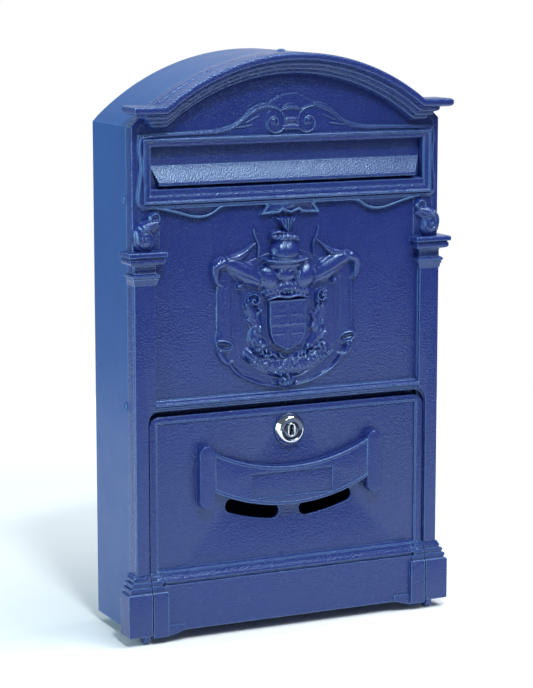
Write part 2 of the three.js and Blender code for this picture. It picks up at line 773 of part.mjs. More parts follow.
// The latch tongue: at rest it lies to the right, clear of the frame, and a quarter turn lifts it.
function lockCam() {
  const outline = new THREE.Shape();
  const r = CAM.width / 2;
  outline.absarc(0, LOCK_Z, r, HALF_PI, 3 * HALF_PI, false);
  outline.lineTo(CAM.reach, LOCK_Z - r + 1);
  outline.lineTo(CAM.reach, LOCK_Z + r - 1);
  const plate = slab(outline, CAM.back, CAM.front, 10);
  return cut(plate, [discAlongY(1.5 + GAP, -40, -60, 0, LOCK_Z, 16)]);
}

function camWasher() {
  const back = CAM.back + GAP + 0.8;
  return cut(discAlongY(4.4, back, CAM.back + GAP, 0, LOCK_Z, 20), [
    discAlongY(1.5 + GAP, -40, -60, 0, LOCK_Z, 16),
  ]);
}

function camScrew() {
  const head = CAM.back + GAP + 0.8 + GAP;
  return cut(
    join([
      discAlongY(3.1, head + 2, head, 0, LOCK_Z, 20),
      discAlongY(1.5, head + 1, CAM.front - 7, 0, LOCK_Z, 16),
    ]),
    [
      box(-2.2, 2.2, head + 0.9, head + 5, LOCK_Z - 0.4, LOCK_Z + 0.4),
      box(-0.4, 0.4, head + 0.9, head + 5, LOCK_Z - 2.2, LOCK_Z + 2.2),
    ],
  );
}

// ---------------------------------------------------------------- assembly
const housing = new THREE.Group();
housing.add(
  mesh("front_casting", frontCasting(), COLOURS.casting),
  mesh("crest_relief", crest(), COLOURS.casting),
  mesh("body_wrap", bodyWrap(), COLOURS.sheet),
  mesh("back_panel", backPanel(), COLOURS.sheet),
  mesh("bottom_panel", bottomPanel(), COLOURS.sheet),
  rivet("rivet_top", [0, RIVET_Y, ARCH_TOP], [HALF_PI, 0, 0]),
  mesh("flap_rod", rodAlongX(FLAP_ROD_RADIUS, -112, 112, FLAP_AXIS.y, FLAP_AXIS.z), COLOURS.zinc),
);
for (const [sideName, side] of [["left", -1], ["right", 1]]) {
  for (const [level, z] of Object.entries(RIVET_HEIGHTS)) {
    const at = [side * BODY_HALF, RIVET_Y, z];
    housing.add(rivet(`rivet_${sideName}_${level}`, at, [0, 0, side * -HALF_PI]));
  }
  const under = [side * BOTTOM_RIVET_X, RIVET_Y, 0];
  housing.add(rivet(`rivet_bottom_${sideName}`, under, [-HALF_PI, 0, 0]));

  const clip = mesh(`flap_rod_clip_${sideName}`, rodClip(), COLOURS.zinc);
  clip.position.set(side < 0 ? -CLIP_X - CLIP_WALL : CLIP_X, FLAP_AXIS.y, FLAP_AXIS.z);
  housing.add(clip);

  const inner = side * (BLOCK_INNER + 1);
  const outer = side * (EAR.x1 - 0.2);
  const pin = rodAlongX(DOOR_PIN_RADIUS, Math.min(inner, outer), Math.max(inner, outer), 0, 0);
  const doorPin = mesh(`door_pin_${sideName}`, pin, COLOURS.zinc);
  doorPin.position.set(0, DOOR_AXIS.y, DOOR_AXIS.z);
  housing.add(doorPin);
}

const door = new THREE.Group();
door.add(
  mesh("door_casting", doorCasting(), COLOURS.casting),
  mesh("lock_housing", lockHousing(), COLOURS.chrome),
  mesh("lock_nut", lockNut(), COLOURS.zinc),
  mesh("lock_plug", lockPlug(), COLOURS.chrome),
  mesh("lock_cam", lockCam(), COLOURS.zinc),
  mesh("cam_washer", camWasher(), COLOURS.zinc),
  mesh("cam_screw", camScrew(), COLOURS.zinc),
);

const mailbox = new THREE.Group();
mailbox.add(housing, door, mesh("letter_flap", letterFlap(), COLOURS.casting));
mailbox.position.z = -ORIGIN_HEIGHT;

export default mailbox;
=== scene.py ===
"""A wall mounted letter box with a cast front: detailed pieces, materials, light and camera."""
import math

import bmesh
import bpy
import numpy as np
from mathutils import Matrix, Vector


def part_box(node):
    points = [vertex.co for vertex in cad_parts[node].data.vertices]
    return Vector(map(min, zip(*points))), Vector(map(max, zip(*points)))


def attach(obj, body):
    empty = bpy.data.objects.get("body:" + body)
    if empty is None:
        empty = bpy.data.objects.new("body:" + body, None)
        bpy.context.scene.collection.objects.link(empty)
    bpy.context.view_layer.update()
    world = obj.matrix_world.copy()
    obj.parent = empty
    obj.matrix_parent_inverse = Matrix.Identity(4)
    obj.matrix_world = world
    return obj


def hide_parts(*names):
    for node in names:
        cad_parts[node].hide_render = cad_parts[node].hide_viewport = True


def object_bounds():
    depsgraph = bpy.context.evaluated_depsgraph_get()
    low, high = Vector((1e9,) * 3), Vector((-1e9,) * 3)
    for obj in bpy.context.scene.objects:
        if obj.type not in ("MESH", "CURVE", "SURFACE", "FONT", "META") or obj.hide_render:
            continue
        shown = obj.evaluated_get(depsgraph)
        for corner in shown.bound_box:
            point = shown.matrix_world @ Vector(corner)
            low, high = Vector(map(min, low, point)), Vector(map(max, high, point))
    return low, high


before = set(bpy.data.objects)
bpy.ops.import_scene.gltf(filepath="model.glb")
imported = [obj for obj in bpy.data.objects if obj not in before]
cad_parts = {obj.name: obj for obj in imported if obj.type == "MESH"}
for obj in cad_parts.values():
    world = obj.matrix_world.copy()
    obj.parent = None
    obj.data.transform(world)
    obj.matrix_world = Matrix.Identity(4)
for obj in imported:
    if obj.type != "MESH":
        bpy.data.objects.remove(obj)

CAD_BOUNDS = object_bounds()
MM = 0.001
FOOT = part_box("body_wrap")[0][2]  # metres: heights below are in mm above the foot of the corner blocks

# ------------------------------------------------------------------ driving dimensions, mm
GAP = 0.3
BODY_HALF = 120
ARCH_SPRING = 358
ARCH_TOP = 407
SHEET = 1
SEAM_Y = -62.5
FACE_Y = -73
PANEL_Y = -71.5
PLATE_Y = -74.6
WALL = 3
PILASTER_INNER = 104
PANEL_INNER = 99.7
PILASTER_Y = -75.6

CORNICE_RADIUS = 164
CORNICE_CENTRE = 243
CORNICE_LEVEL = 372.3
TIP_BASE = 108  # the top member stands out from here at both ends
MOULD_BASE = 101.5

SLOT_HALF = 106.5
SLOT_FOOT = 314.5
SLOT_HEAD = 345.4
BEAD_HALF = 110.6
BEAD_FOOT = 306.6
BEAD_HEAD = 347.6
FLAP_HALF = 105.6
FLAP_FRONT_Y = -68.5
FLAP_BACK_Y = -66.5
FLAP_FOOT = 315.9
FLAP_AXIS_Y = -66
FLAP_AXIS_Z = 342.3

OPENING_HALF = 109.8
OPENING_HEAD = 159
DOOR_HALF = 109
DOOR_HEAD = 155.3
DOOR_FOOT = 1
DOOR_FRONT_Y = -72.4
DOOR_BACK_Y = -69.4
DOOR_BORDER_Y = -73.6
FIELD_HALF = 103.5
FIELD_FOOT = 43.5
FIELD_HEAD = 151.3
DOOR_AXIS_Y = -73
DOOR_AXIS_Z = -0.5
BLOCK_INNER = 97.5

BAND_Y = -78.4
BAND_HALF = 66
BAND_RADIUS = 137
BAND_FOOT = 84
BAND_HEAD = 112.6
SLOT_CENTRE = 215.5
SLOT_WIDTH = 10.4

LOCK_Z = 138.4
BEZEL_RADIUS = 11.7
BEZEL_BACK_Y = DOOR_FRONT_Y - GAP
PLUG_RADIUS = 5.8
CAM_CATCH_Y = -52.2  # the back of the lug that the cam turns in behind
CREST_X = -2.6  # the ornament sits a little left of the middle


# ------------------------------------------------------------------ mesh helpers
def finish_mesh(bm, name, material, body, sharp=32, merge=True):
    """An object from a bmesh whose vertices are in mm, riding on a body."""
    if merge:
        bmesh.ops.remove_doubles(bm, verts=bm.verts, dist=0.002)
    bmesh.ops.recalc_face_normals(bm, faces=bm.faces)
    for vert in bm.verts:
        vert.co = Vector((vert.co.x * MM, vert.co.y * MM, vert.co.z * MM + FOOT))
    mesh = bpy.data.meshes.new(name)
    bm.to_mesh(mesh)
    bm.free()
    mesh.polygons.foreach_set("use_smooth", [True] * len(mesh.polygons))
    mesh.set_sharp_from_angle(angle=math.radians(sharp))
    mesh.materials.append(material)
    piece = bpy.data.objects.new(name, mesh)
    bpy.context.scene.collection.objects.link(piece)
    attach(piece, body)
    return piece


def filled(bm, outline, holes, back, front, bevel):
    """A flat plate in X-Z with holes, thick in Y, its front and back edges rounded by the bevel."""
    curve = bpy.data.curves.new("outline", "CURVE")
    curve.dimensions = "2D"
    curve.fill_mode = "BOTH"
    for loop in [outline, *holes]:
        spline = curve.splines.new("POLY")
        spline.points.add(len(loop) - 1)
        for point, (x, z) in zip(spline.points, loop):
            point.co = (x, z, 0, 1)
        spline.use_cyclic_u = True
    curve.extrude = (back - front) / 2 - bevel
    curve.bevel_depth = bevel
    curve.bevel_resolution = 2
    curve.offset = -bevel
    holder = bpy.data.objects.new("outline", curve)
    bpy.context.scene.collection.objects.link(holder)
    depsgraph = bpy.context.evaluated_depsgraph_get()
    mesh = bpy.data.meshes.new_from_object(holder.evaluated_get(depsgraph))
    middle = (back + front) / 2
    mesh.transform(Matrix(((1, 0, 0, 0), (0, 0, -1, middle), (0, 1, 0, 0), (0, 0, 0, 1))))
    bm.from_mesh(mesh)
    bpy.data.objects.remove(holder)
    bpy.data.curves.remove(curve)
    bpy.data.meshes.remove(mesh)


def sweep(bm, stations, profile, closed=False):
    """Carries a closed profile of (out, up) pairs through stations of (origin, out axis, up axis)."""
    count = len(profile)
    rings = []
    for origin, out, up in stations:
        origin, out, up = Vector(origin), Vector(out), Vector(up)
        rings.append([bm.verts.new(origin + out * o + up * u) for o, u in profile])
    pairs = list(zip(rings, rings[1:]))
    if closed:
        pairs.append((rings[-1], rings[0]))
    for first, second in pairs:
        for i in range(count):
            j = (i + 1) % count
            bm.faces.new((first[i], first[j], second[j], second[i]))
    if not closed:
        bm.faces.new(rings[0])
        bm.faces.new(rings[-1][::-1])


def mitred(path, closed):
    """The in-plane normal at each point of a path in X-Z, lengthened at corners."""
    points = np.asarray(path, dtype=float)
    before = np.roll(points, 1, axis=0)
    after = np.roll(points, -1, axis=0)
    if not closed:
        before[0] = 2 * points[0] - points[1]
        after[-1] = 2 * points[-1] - points[-2]
    first = points - before
    second = after - points
    first /= np.linalg.norm(first, axis=1)[:, None]
    second /= np.linalg.norm(second, axis=1)[:, None]
    n1 = np.stack([-first[:, 1], first[:, 0]], axis=1)
    n2 = np.stack([-second[:, 1], second[:, 0]], axis=1)
    return (n1 + n2) / (1 + np.sum(n1 * n2, axis=1))[:, None]


def follow(bm, path, profile, base_y, closed=False):
    """A moulding along a path in X-Z. The profile's out is forwards, and its up is to the path's left."""
    normals = mitred(path, closed)
    stations = [
        ((x, base_y, z), (0, -1, 0), (n[0], 0, n[1])) for (x, z), n in zip(path, normals)
    ]
    sweep(bm, stations, profile, closed)


def block(bm, x0, x1, y0, y1, z0, z1, bevel=0.4):
    """A box with rounded edges."""
    made = bmesh.ops.create_cube(bm, size=1)
    verts = made["verts"]
    centre = Vector(((x0 + x1) / 2, (y0 + y1) / 2, (z0 + z1) / 2))
    size = Vector((x1 - x0, y1 - y0, z1 - z0))
    for vert in verts:
        vert.co = Vector(vert.co * size) + centre
    edges = list({edge for vert in verts for edge in vert.link_edges})
    bmesh.ops.bevel(bm, geom=edges, offset=bevel, segments=2, profile=0.7, affect="EDGES")


def along_x(bm, points, x0, x1):
    """A profile of (y, z) points drawn along X."""
    stations = [((x, 0, 0), (0, 1, 0), (0, 0, 1)) for x in (x0, x1)]
    sweep(bm, stations, points)


def lathe(bm, profile, origin, axis, segments=48):
    """A profile of (radius, along) turned round an axis through the origin; it starts and ends on it."""
    axis = Vector(axis).normalized()
    side = axis.orthogonal().normalized()
    other = axis.cross(side)
    origin = Vector(origin)
    rings = []
    for radius, height in profile:
        if radius == 0:
            rings.append([bm.verts.new(origin + axis * height)] * segments)
            continue
        ring = []
        for i in range(segments):
            angle = 2 * math.pi * i / segments
            spoke = side * math.cos(angle) + other * math.sin(angle)
            ring.append(bm.verts.new(origin + axis * height + spoke * radius))
        rings.append(ring)
    for first, second in zip(rings, rings[1:]):
        for i in range(segments):
            j = (i + 1) % segments
            corners = (first[i], first[j], second[j], second[i])
            bm.faces.new(list(dict.fromkeys(corners)))


def mirror_x(bm):
    """Adds the mirror image of everything so far on the other side of X = 0."""
    copy = bmesh.ops.duplicate(bm, geom=bm.verts[:] + bm.edges[:] + bm.faces[:])
    for item in copy["geom"]:
        if isinstance(item, bmesh.types.BMVert):
            item.co.x = -item.co.x
    faces = [item for item in copy["geom"] if isinstance(item, bmesh.types.BMFace)]
    bmesh.ops.reverse_faces(bm, faces=faces)


def add_halves(bm, half):
    """Adds the right-hand half and its mirror image to a bmesh, and frees the half."""
    mirror_x(half)
    mesh = bpy.data.meshes.new("halves")
    half.to_mesh(mesh)
    half.free()
    bm.from_mesh(mesh)
    bpy.data.meshes.remove(mesh)


# ------------------------------------------------------------------ outlines in X-Z, mm
def arc(cx, cz, radius, start, end, count):
    """Points on an arc, angles in degrees counted from +X towards +Z."""
    angles = np.radians(np.linspace(start, end, count))
    return [(cx + radius * math.cos(a), cz + radius * math.sin(a)) for a in angles]


def spline(points, count):
    """A Catmull-Rom curve through the points."""
    p = np.asarray(points, dtype=float)
    p = np.vstack([2 * p[0] - p[1], p, 2 * p[-1] - p[-2]])
    out = []
    for i in range(1, len(p) - 2):
        for t in np.linspace(0, 1, count, endpoint=False):
            a, b, c, d = p[i - 1], p[i], p[i + 1], p[i + 2]
            out.append(tuple(0.5 * (2 * b + (c - a) * t + (2 * a - 5 * b + 4 * c - d) * t**2
                                    + (3 * b - a - 3 * c + d) * t**3)))
    out.append(tuple(p[-2]))
    return out


def flipped(points):
    """The same points on the other side of X = 0, in reverse order."""
    return [(-x, z) for x, z in reversed(points)]


def body_outline(inset):
    """The arched outline, counter-clockwise from the bottom left."""
    rise = ARCH_TOP - ARCH_SPRING
    radius = (BODY_HALF**2 + rise**2) / (2 * rise)
    centre = ARCH_TOP - radius
    half = BODY_HALF - inset
    spread = math.degrees(math.asin(half / (radius - inset)))
    return [(-half, 0), (half, 0), *arc(0, centre, radius - inset, 90 - spread, 90 + spread, 49)]


def rectangle(half, foot, head):
    return [(-half, foot), (half, foot), (half, head), (-half, head)]


def door_outline(half, foot, head, corner):
    return [
        (-half, foot),
        (half, foot),
        *arc(half - corner, head - corner, corner, 0, 90, 9),
        *arc(corner - half, head - corner, corner, 90, 180, 9),
    ]


# ------------------------------------------------------------------ materials
WHITE = (1, 1, 1, 1)
# painted highlight: the pale blue painted on the grain tips, standing in for glints
PAINTED_GLINT_TIPS = (0.11, 0.22, 0.50, 1)
# painted highlight: the pale blue painted along outward edges, standing in for the sheen on rounded edges
PAINTED_EDGE_SHEEN = (0.15, 0.30, 0.54, 1)
SHEEN_TINT = (0.62, 0.84, 1, 1)
# how strongly the painted edge highlight is laid on
EDGE_SHEEN_PAINT = 0.85
EDGE_WIDTH = 0.9 * MM


class Tree:
    """A node tree, with the nodes that the finishes share."""

    def __init__(self, tree):
        self.nodes, self.links = tree.nodes, tree.links
        self.coords = self.add("TexCoord")

    def feed(self, node, inputs):
        """Fills a node's inputs from constants or from other nodes' outputs."""
        for key, value in inputs.items():
            if isinstance(value, bpy.types.NodeSocket):
                self.links.new(value, node.inputs[key])
            else:
                node.inputs[key].default_value = value

    def add(self, kind, inputs=None, **settings):
        """The outputs of a new node."""
        node = self.nodes.new("ShaderNode" + kind)
        for key, value in settings.items():
            setattr(node, key, value)
        self.feed(node, inputs or {})
        return node.outputs

    def noise(self, scale, detail):
        inputs = {"Scale": scale, "Detail": detail, "Vector": self.coords["Object"]}
        return self.add("TexNoise", inputs)["Fac"]

    def ramp(self, value, stops):
        node = self.nodes.new("ShaderNodeValToRGB")
        self.feed(node, {"Fac": value})
        elements = node.color_ramp.elements
        elements[0].position, elements[0].color = stops[0]
        elements[1].position, elements[1].color = stops[-1]
        for position, colour in stops[1:-1]:
            elements.new(position).color = colour
        return node.outputs["Color"]

    def spread(self, value, start, end, low=0.0, high=1.0):
        """Maps a value from start..end to low..high."""
        ends = {"From Min": start, "From Max": end, "To Min": low, "To Max": high}
        return self.add("MapRange", {"Value": value, **ends})["Result"]

    def mix(self, factor, base, colour):
        return self.add("Mix", {"Factor": factor, "A": base, "B": colour}, data_type="RGBA")["Result"]

    def bump(self, height, distance, strength, under=None):
        """A bumped normal, on top of another if one is given."""
        inputs = {"Height": height, "Distance": distance, "Strength": strength}
        if under:
            inputs["Normal"] = under
        return self.add("Bump", inputs)["Normal"]

    def open_edges(self, radius):
        """A mask of outward edges: a rounded normal leaves the true one, and nothing stands close by."""
        rounded = self.add("Bevel", {"Radius": radius}, samples=4)["Normal"]
        true = self.add("NewGeometry")["Normal"]
        apart = self.add("VectorMath", {0: rounded, 1: true}, operation="DOT_PRODUCT")["Value"]
        cover = self.add("AmbientOcclusion", {"Distance": 3 * MM}, samples=4)["AO"]
        both_true = {0: self.spread(apart, 0.99, 0.86), 1: self.spread(cover, 0.5, 0.82)}
        return self.add("Math", both_true, operation="MULTIPLY")["Value"]


def new_material(name):
    """A material, its tree and its shader."""
    material = bpy.data.materials.new(name)
    material.use_nodes = True
    return material, Tree(material.node_tree), material.node_tree.nodes["Principled BSDF"]


def powder_coat(name, blues, grain, depth, rough, glint_paint, shine):
    """Blue powder coat: a leathery skin of so many grains per metre, with painted highlights: glints painted
    pale on its grain tips and sheen painted pale on its outward edges.

    It varies slowly between two blues. Depth is the grain's, in metres; glint_paint is how pale the painted
    glints on the tips are, and shine the level of its reflections.
    """
    material, tree, shader = new_material(name)
    place = tree.coords["Object"]
    warp = tree.add("TexNoise", {"Scale": grain * 0.5, "Vector": place})["Color"]
    bent = {0: warp, 1: (0.9 / grain,) * 3, 2: place}
    bent = tree.add("VectorMath", bent, operation="MULTIPLY_ADD")["Vector"]
    cells = {"Scale": grain, "Smoothness": 0.5, "Randomness": 1, "Vector": bent}
    cells = tree.add("TexVoronoi", cells, feature="SMOOTH_F1")["Distance"]
    fine = tree.noise(grain * 1.6, 1)
    slow = tree.noise(40, 2)
    deep, light = blues
    colour = tree.ramp(tree.noise(9, 3), [(0.3, (*deep, 1)), (0.7, (*light, 1))])
    # painted glints: the tips of the grain are painted paler
    glinted = tree.mix(tree.spread(cells, 0.34, 0.06, high=glint_paint), colour, PAINTED_GLINT_TIPS)
    # painted highlight: outward edges are painted paler, as sheen, not wear
    edges = tree.add("Math", {0: tree.open_edges(EDGE_WIDTH), 1: EDGE_SHEEN_PAINT}, operation="MULTIPLY")["Value"]
    normal = tree.bump(slow, 0.15 * MM, 0.3)
    normal = tree.bump(cells, depth, 1, normal)
    tree.feed(shader, {
        "Base Color": tree.mix(edges, glinted, PAINTED_EDGE_SHEEN),
        "Roughness": tree.spread(slow, 0.3, 0.7, rough - 0.03, rough + 0.05),
        "Normal": tree.bump(fine, depth * 0.3, 1, normal),
        "Specular IOR Level": shine,
        "Specular Tint": SHEEN_TINT,
    })
    return material


def plated(name, colour, rough, scratch, marks):
    """A plated metal: fine wipe marks, so many per metre, and faint cloudiness."""
    material, tree, shader = new_material(name)
    clouds = tree.noise(120, 4)
    dark = [c * 0.82 for c in colour]
    density = (marks, marks * 0.06, marks * 0.3)
    stretched = tree.add("Mapping", {"Scale": density, "Vector": tree.coords["Object"]})["Vector"]
    lines = tree.add("TexNoise", {"Scale": 1, "Detail": 2, "Vector": stretched})["Fac"]
    tree.feed(shader, {
        "Metallic": 1,
        "Base Color": tree.ramp(clouds, [(0.3, (*dark, 1)), (0.7, (*colour, 1))]),
        "Roughness": tree.spread(clouds, 0.3, 0.7, rough * 0.7, rough * 1.5),
        "Normal": tree.bump(lines, scratch, 0.25),
    })
    return material


CAST_BLUES = ((0.0125, 0.0215, 0.142), (0.0155, 0.0265, 0.161))
SHEET_BLUES = ((0.020, 0.054, 0.200), (0.024, 0.064, 0.224))
CASTING = powder_coat("casting_powder_coat", CAST_BLUES, 820, 0.00028, 0.25, 0.13, 0.8)
FLAP_COAT = powder_coat("flap_powder_coat", CAST_BLUES, 1000, 0.00026, 0.24, 0.26, 1.2)
RELIEF_COAT = powder_coat("relief_powder_coat", CAST_BLUES, 900, 0.00022, 0.12, 0.16, 1.0)
SHEET_COAT = powder_coat("sheet_powder_coat", SHEET_BLUES, 900, 0.00008, 0.36, 0.03, 0.5)
CHROME = plated("lock_chrome", (0.80, 0.81, 0.83), 0.09, 0.00002, 2600)
# partly painted reflection: a dark plating whose darkness and blue tint also stand in for the dark blue
# surroundings that the dish and plug reflect
REFLECTION_DARKENED_PLATING = plated("reflection_darkened_plating", (0.13, 0.155, 0.23), 0.2, 0.00002, 2600)
ZINC = plated("zinc_plate", (0.62, 0.62, 0.60), 0.32, 0.00006, 1800)
# painted shade: a near-black metal for the block behind the keyway, standing in for the shade inside it
KEYWAY_SHADE_PAINT = plated("keyway_painted_shade", (0.05, 0.045, 0.04), 0.5, 0.00004, 2200)


# ------------------------------------------------------------------ sheet body
def sheet_wrap():
    """The sides and the arched top: one strip of sheet, with its bends eased."""
    bm = bmesh.new()
    outline = body_outline(0)
    right = outline[2]
    ease = 0.8
    path = [(BODY_HALF, 0), (BODY_HALF, 120), (BODY_HALF, 240), (BODY_HALF, right[1] - ease)]
    path += [(BODY_HALF - 0.22, right[1] - 0.1), (BODY_HALF - 0.75, right[1] + 0.35)]
    path += outline[3:-1]
    path += [(-x, z) for x, z in reversed(path[:6])]
    depth = -(SEAM_Y + 0.12)
    hem = 0.25
    profile = [
        (0, -hem),
        (hem, 0),
        (depth - hem, 0),
        (depth, -hem),
        (depth, -SHEET + hem / 2),
        (depth - hem, -SHEET),
        (hem, -SHEET),
        (0, -SHEET + hem / 2),
    ]
    follow(bm, path[::-1], profile, 0)
    piece = finish_mesh(bm, "sheet_wrap", SHEET_COAT, "housing", sharp=25)
    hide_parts("body_wrap")


def rivets():
    """Domed blind rivets with the sunk mandrel hole, in place of the plain ones."""
    radius = 3.2
    for node in [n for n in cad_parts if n.startswith("rivet_")]:
        low, high = (np.array(corner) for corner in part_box(node))
        size = high - low
        axis = int(np.argmax(size))
        middle = (low + high) / 2
        outward = math.copysign(1, middle[axis] - (0 if axis == 0 else FOOT + 0.2))
        head = (high if outward > 0 else low)[axis]
        direction = np.zeros(3)
        direction[axis] = outward
        start = middle.copy()
        start[axis] = head
        start = (start - np.array((0, 0, FOOT))) / MM
        bm = bmesh.new()
        profile = [
            (0, -0.9), (0.75, -0.9), (0.85, -0.05), (1.3, 0), (2.1, -0.3), (2.9, -0.85), (radius, -1.15),
            (radius, -1.35), (2, -1.4), (2, -5.3), (2.8, -5.4), (2.9, -6.6), (1.8, -7.7), (0, -8),
        ]
        lathe(bm, profile, start, direction, 32)
        piece = finish_mesh(bm, node + "_domed", SHEET_COAT, "housing")
        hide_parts(node)


def hardware():
    """CAD nodes whose shapes are right: they get rounded edges and their own materials."""
    coats = {"back_panel": SHEET_COAT, "bottom_panel": SHEET_COAT}
    for name in ("back_panel", "bottom_panel", "flap_rod", "flap_rod_clip_left", "flap_rod_clip_right",
                 "door_pin_left", "door_pin_right", "lock_nut", "lock_cam", "cam_washer", "cam_screw"):
        node = bpy.data.objects[name]
        node.data.materials.clear()
        node.data.materials.append(coats.get(name, ZINC))
        edge = node.modifiers.new("edge", "BEVEL")
        edge.width = 0.00015
        edge.segments = 2
        edge.limit_method = "ANGLE"
        edge.angle_limit = math.radians(40)


# ------------------------------------------------------------------ cast front
def header_outline():
    """The raised plate round the letter slot, from the bottom right: waved sides, ogee head, lumpy shell."""
    side = spline([(110.5, 301.2), (113.4, 301.5), (117.4, 308.2), (114.9, 330), (116.3, 344.3),
                   (115.4, 352.6)], 7)
    ogee = spline([(60, 354.4), (52, 355.8), (43, 358.6), (36.6, 363.2), (32, 367.4), (26.5, 370.6),
                   (21, 371.8), (17, 371.6)], 5)
    shell = [(16.4, 372.6), (14.4, 373.9), (12.4, 374.2), (11.6, 375.6), (9.6, 376.7), (7.4, 376.6),
             (6.2, 377.8), (3, 378.2)]
    right = side + ogee + shell
    return right + flipped(right)


def apron_outline():
    wave = spline([(104, 301.4), (94, 299.4), (84, 296.6), (75, 294.2), (67, 293.9), (60, 296), (54.5, 299.6),
                   (50.2, 301)], 5)
    tab = [(20, 301), (18.8, 300), (22, 296), (22.9, 294.2), (21.5, 293.6), (9, 294.2), (6.5, 296.2),
           (4, 295.2), (0, 293.9)]
    right = [(104, 303), *wave, *tab]
    return right + flipped(right[:-1])


def front_plates(bm):
    holes = [
        [(-PILASTER_INNER, 163), (PILASTER_INNER, 163), (PILASTER_INNER, 272), (PANEL_INNER, 272),
         (PANEL_INNER, 302.4), (-PANEL_INNER, 302.4), (-PANEL_INNER, 272), (-PILASTER_INNER, 272)],
        rectangle(SLOT_HALF, SLOT_FOOT, SLOT_HEAD),
    ]
    doorway = door_outline(OPENING_HALF, 0, OPENING_HEAD, 9)
    outline = body_outline(4)
    outer = [(OPENING_HALF, 0), *outline[1:], outline[0], (-OPENING_HALF, 0), *reversed(doorway[2:])]
    filled(bm, outer, holes, FACE_Y + WALL, FACE_Y, 0.7)
    filled(bm, rectangle(PILASTER_INNER + 2, OPENING_HEAD + 0.3, 304), [], PANEL_Y + WALL, PANEL_Y, 0.2)


def rim(bm):
    """The casting's edge wall back to the seam, and the flange that reaches into the sheet."""
    depth = SEAM_Y - FACE_Y
    corner = [(depth - 1.4, 0), (depth - 0.85, -0.1), (depth - 0.4, -0.38), (depth - 0.1, -0.85),
              (depth, -1.4)]
    edge = [(0, -0.25), (0.25, 0), *corner, (depth, -5), (depth - WALL, -5), (depth - WALL, -WALL),
            (0, -WALL)]
    path = [(BODY_HALF, 0), *body_outline(0)[2:], (-BODY_HALF, 0)]
    follow(bm, path[::-1], edge, SEAM_Y)
    tuck = 1.4
    flange = [(0, 0), (11, 0), (11, -2.4), (0, -2.4)]
    path = [(BODY_HALF - tuck, 1.4), *body_outline(tuck)[2:], (tuck - BODY_HALF, 1.4)]
    follow(bm, path[::-1], flange, -52.5)
    block(bm, -BODY_HALF + 4, BODY_HALF - 4, -63.5, -52.5, 1.4, 3.8, 0.3)
    block(bm, -BODY_HALF + 2, BODY_HALF - 2, -66.9, SEAM_Y, 0.05, 3, 0.3)


def slot_frame(bm):
    """The bead round the letter slot with its sloped inner faces, the collar behind and the flap's stops."""
    corners = rectangle(BEAD_HALF, BEAD_FOOT, BEAD_HEAD)
    profile = [
        (-1, -2.3), (2.6, -2.2), (3.4, -1.9), (3.8, -1.3), (3.8, -0.6), (3.4, -0.1), (2.9, 0.1), (2.7, 0.5),
        (2.5, 1.4), (2.1, 2.6), (1.4, 3.4), (0.4, 3.8), (-2.2, 3.9), (-2.2, 1), (-1, 1),
    ]
    follow(bm, corners, profile, FACE_Y, closed=True)
    for side in (-1, 1):
        x0, x1 = sorted((side * (SLOT_HALF - 0.2), side * (BEAD_HALF - 1)))
        block(bm, x0, x1, -73.6, -60, 307, 346.5, 0.5)
    block(bm, -108, 108, -73.6, -70.2, 344.5, 346.6, 0.4)
    sill = [(-74.4, 307.6), (-75, 309.2), (-74.4, 311.2), (-73.4, 312.2), (-73.2, 313.2), (-72.4, 314.4),
            (-70, 315.6), (-61, 315.6), (-61, 307.6)]
    along_x(bm, sill, -108, 108)
    for side in (-1, 1):
        x0, x1 = sorted((side * 96, side * (SLOT_HALF + 1)))
        block(bm, x0, x1, FLAP_BACK_Y + GAP, FLAP_BACK_Y + GAP + 2.5, 313, 319.5, 0.3)


def line_profile(radius, height):
    """A half-round ridge of a given half width and height."""
    steps = [(math.sin(a) * height, -math.cos(a) * radius) for a in np.radians(np.linspace(0, 180, 9))]
    return [(-0.4, -radius), *steps, (-0.4, radius)]


def volute_turns():
    """The right-hand volute's winding: the ridge runs over its top, down inside and in to the eye."""
    turns = [(16.4, 369.2), (11.8, 368.2), (8, 365.8), (5.6, 362.4), (4.9, 358.6), (5.6, 355), (8, 352.2),
             (11.8, 350.9), (15.6, 352), (18, 354.8), (18.4, 358.4), (16.6, 361.4), (13.6, 362.2),
             (11, 360.8), (10.2, 358.2), (11.4, 356.2)]
    return spline(turns, 5)


def header(bm):
    outline = header_outline()
    filled(bm, outline, [rectangle(SLOT_HALF, SLOT_FOOT, SLOT_HEAD)], FACE_Y + 1, PLATE_Y, 0.5)
    side = spline([(106, 303.4), (112.4, 303.8), (115.2, 309), (112.9, 330), (114.2, 343.6),
                   (113.2, 350.4)], 7)
    head = spline([(100, 351.6), (75, 352.2), (60, 352.4), (50.6, 353.6), (43.8, 356), (37.6, 360.2),
                   (31.3, 364.8), (25.6, 367.6), (20.9, 369), (17.3, 369.4)], 6)
    for ridge, profile in ((side + head, line_profile(1.05, 1.15)), (volute_turns(), line_profile(1, 1.5))):
        follow(bm, ridge, profile, PLATE_Y)
        follow(bm, flipped(ridge), profile, PLATE_Y)
    follow(bm, [(106, 303.4), (-106, 303.4)], line_profile(0.75, 0.85), PLATE_Y)
    filled(bm, apron_outline(), [], PANEL_Y + 1, PLATE_Y - 0.2, 0.5)
    edge = apron_outline()
    normals = mitred(edge, True)
    lifted = [(x - n[0] * 1.1, z - n[1] * 1.1) for (x, z), n in zip(edge, normals)]
    follow(bm, lifted[::-1], line_profile(0.6, 0.35), PLATE_Y - 0.2, closed=True)


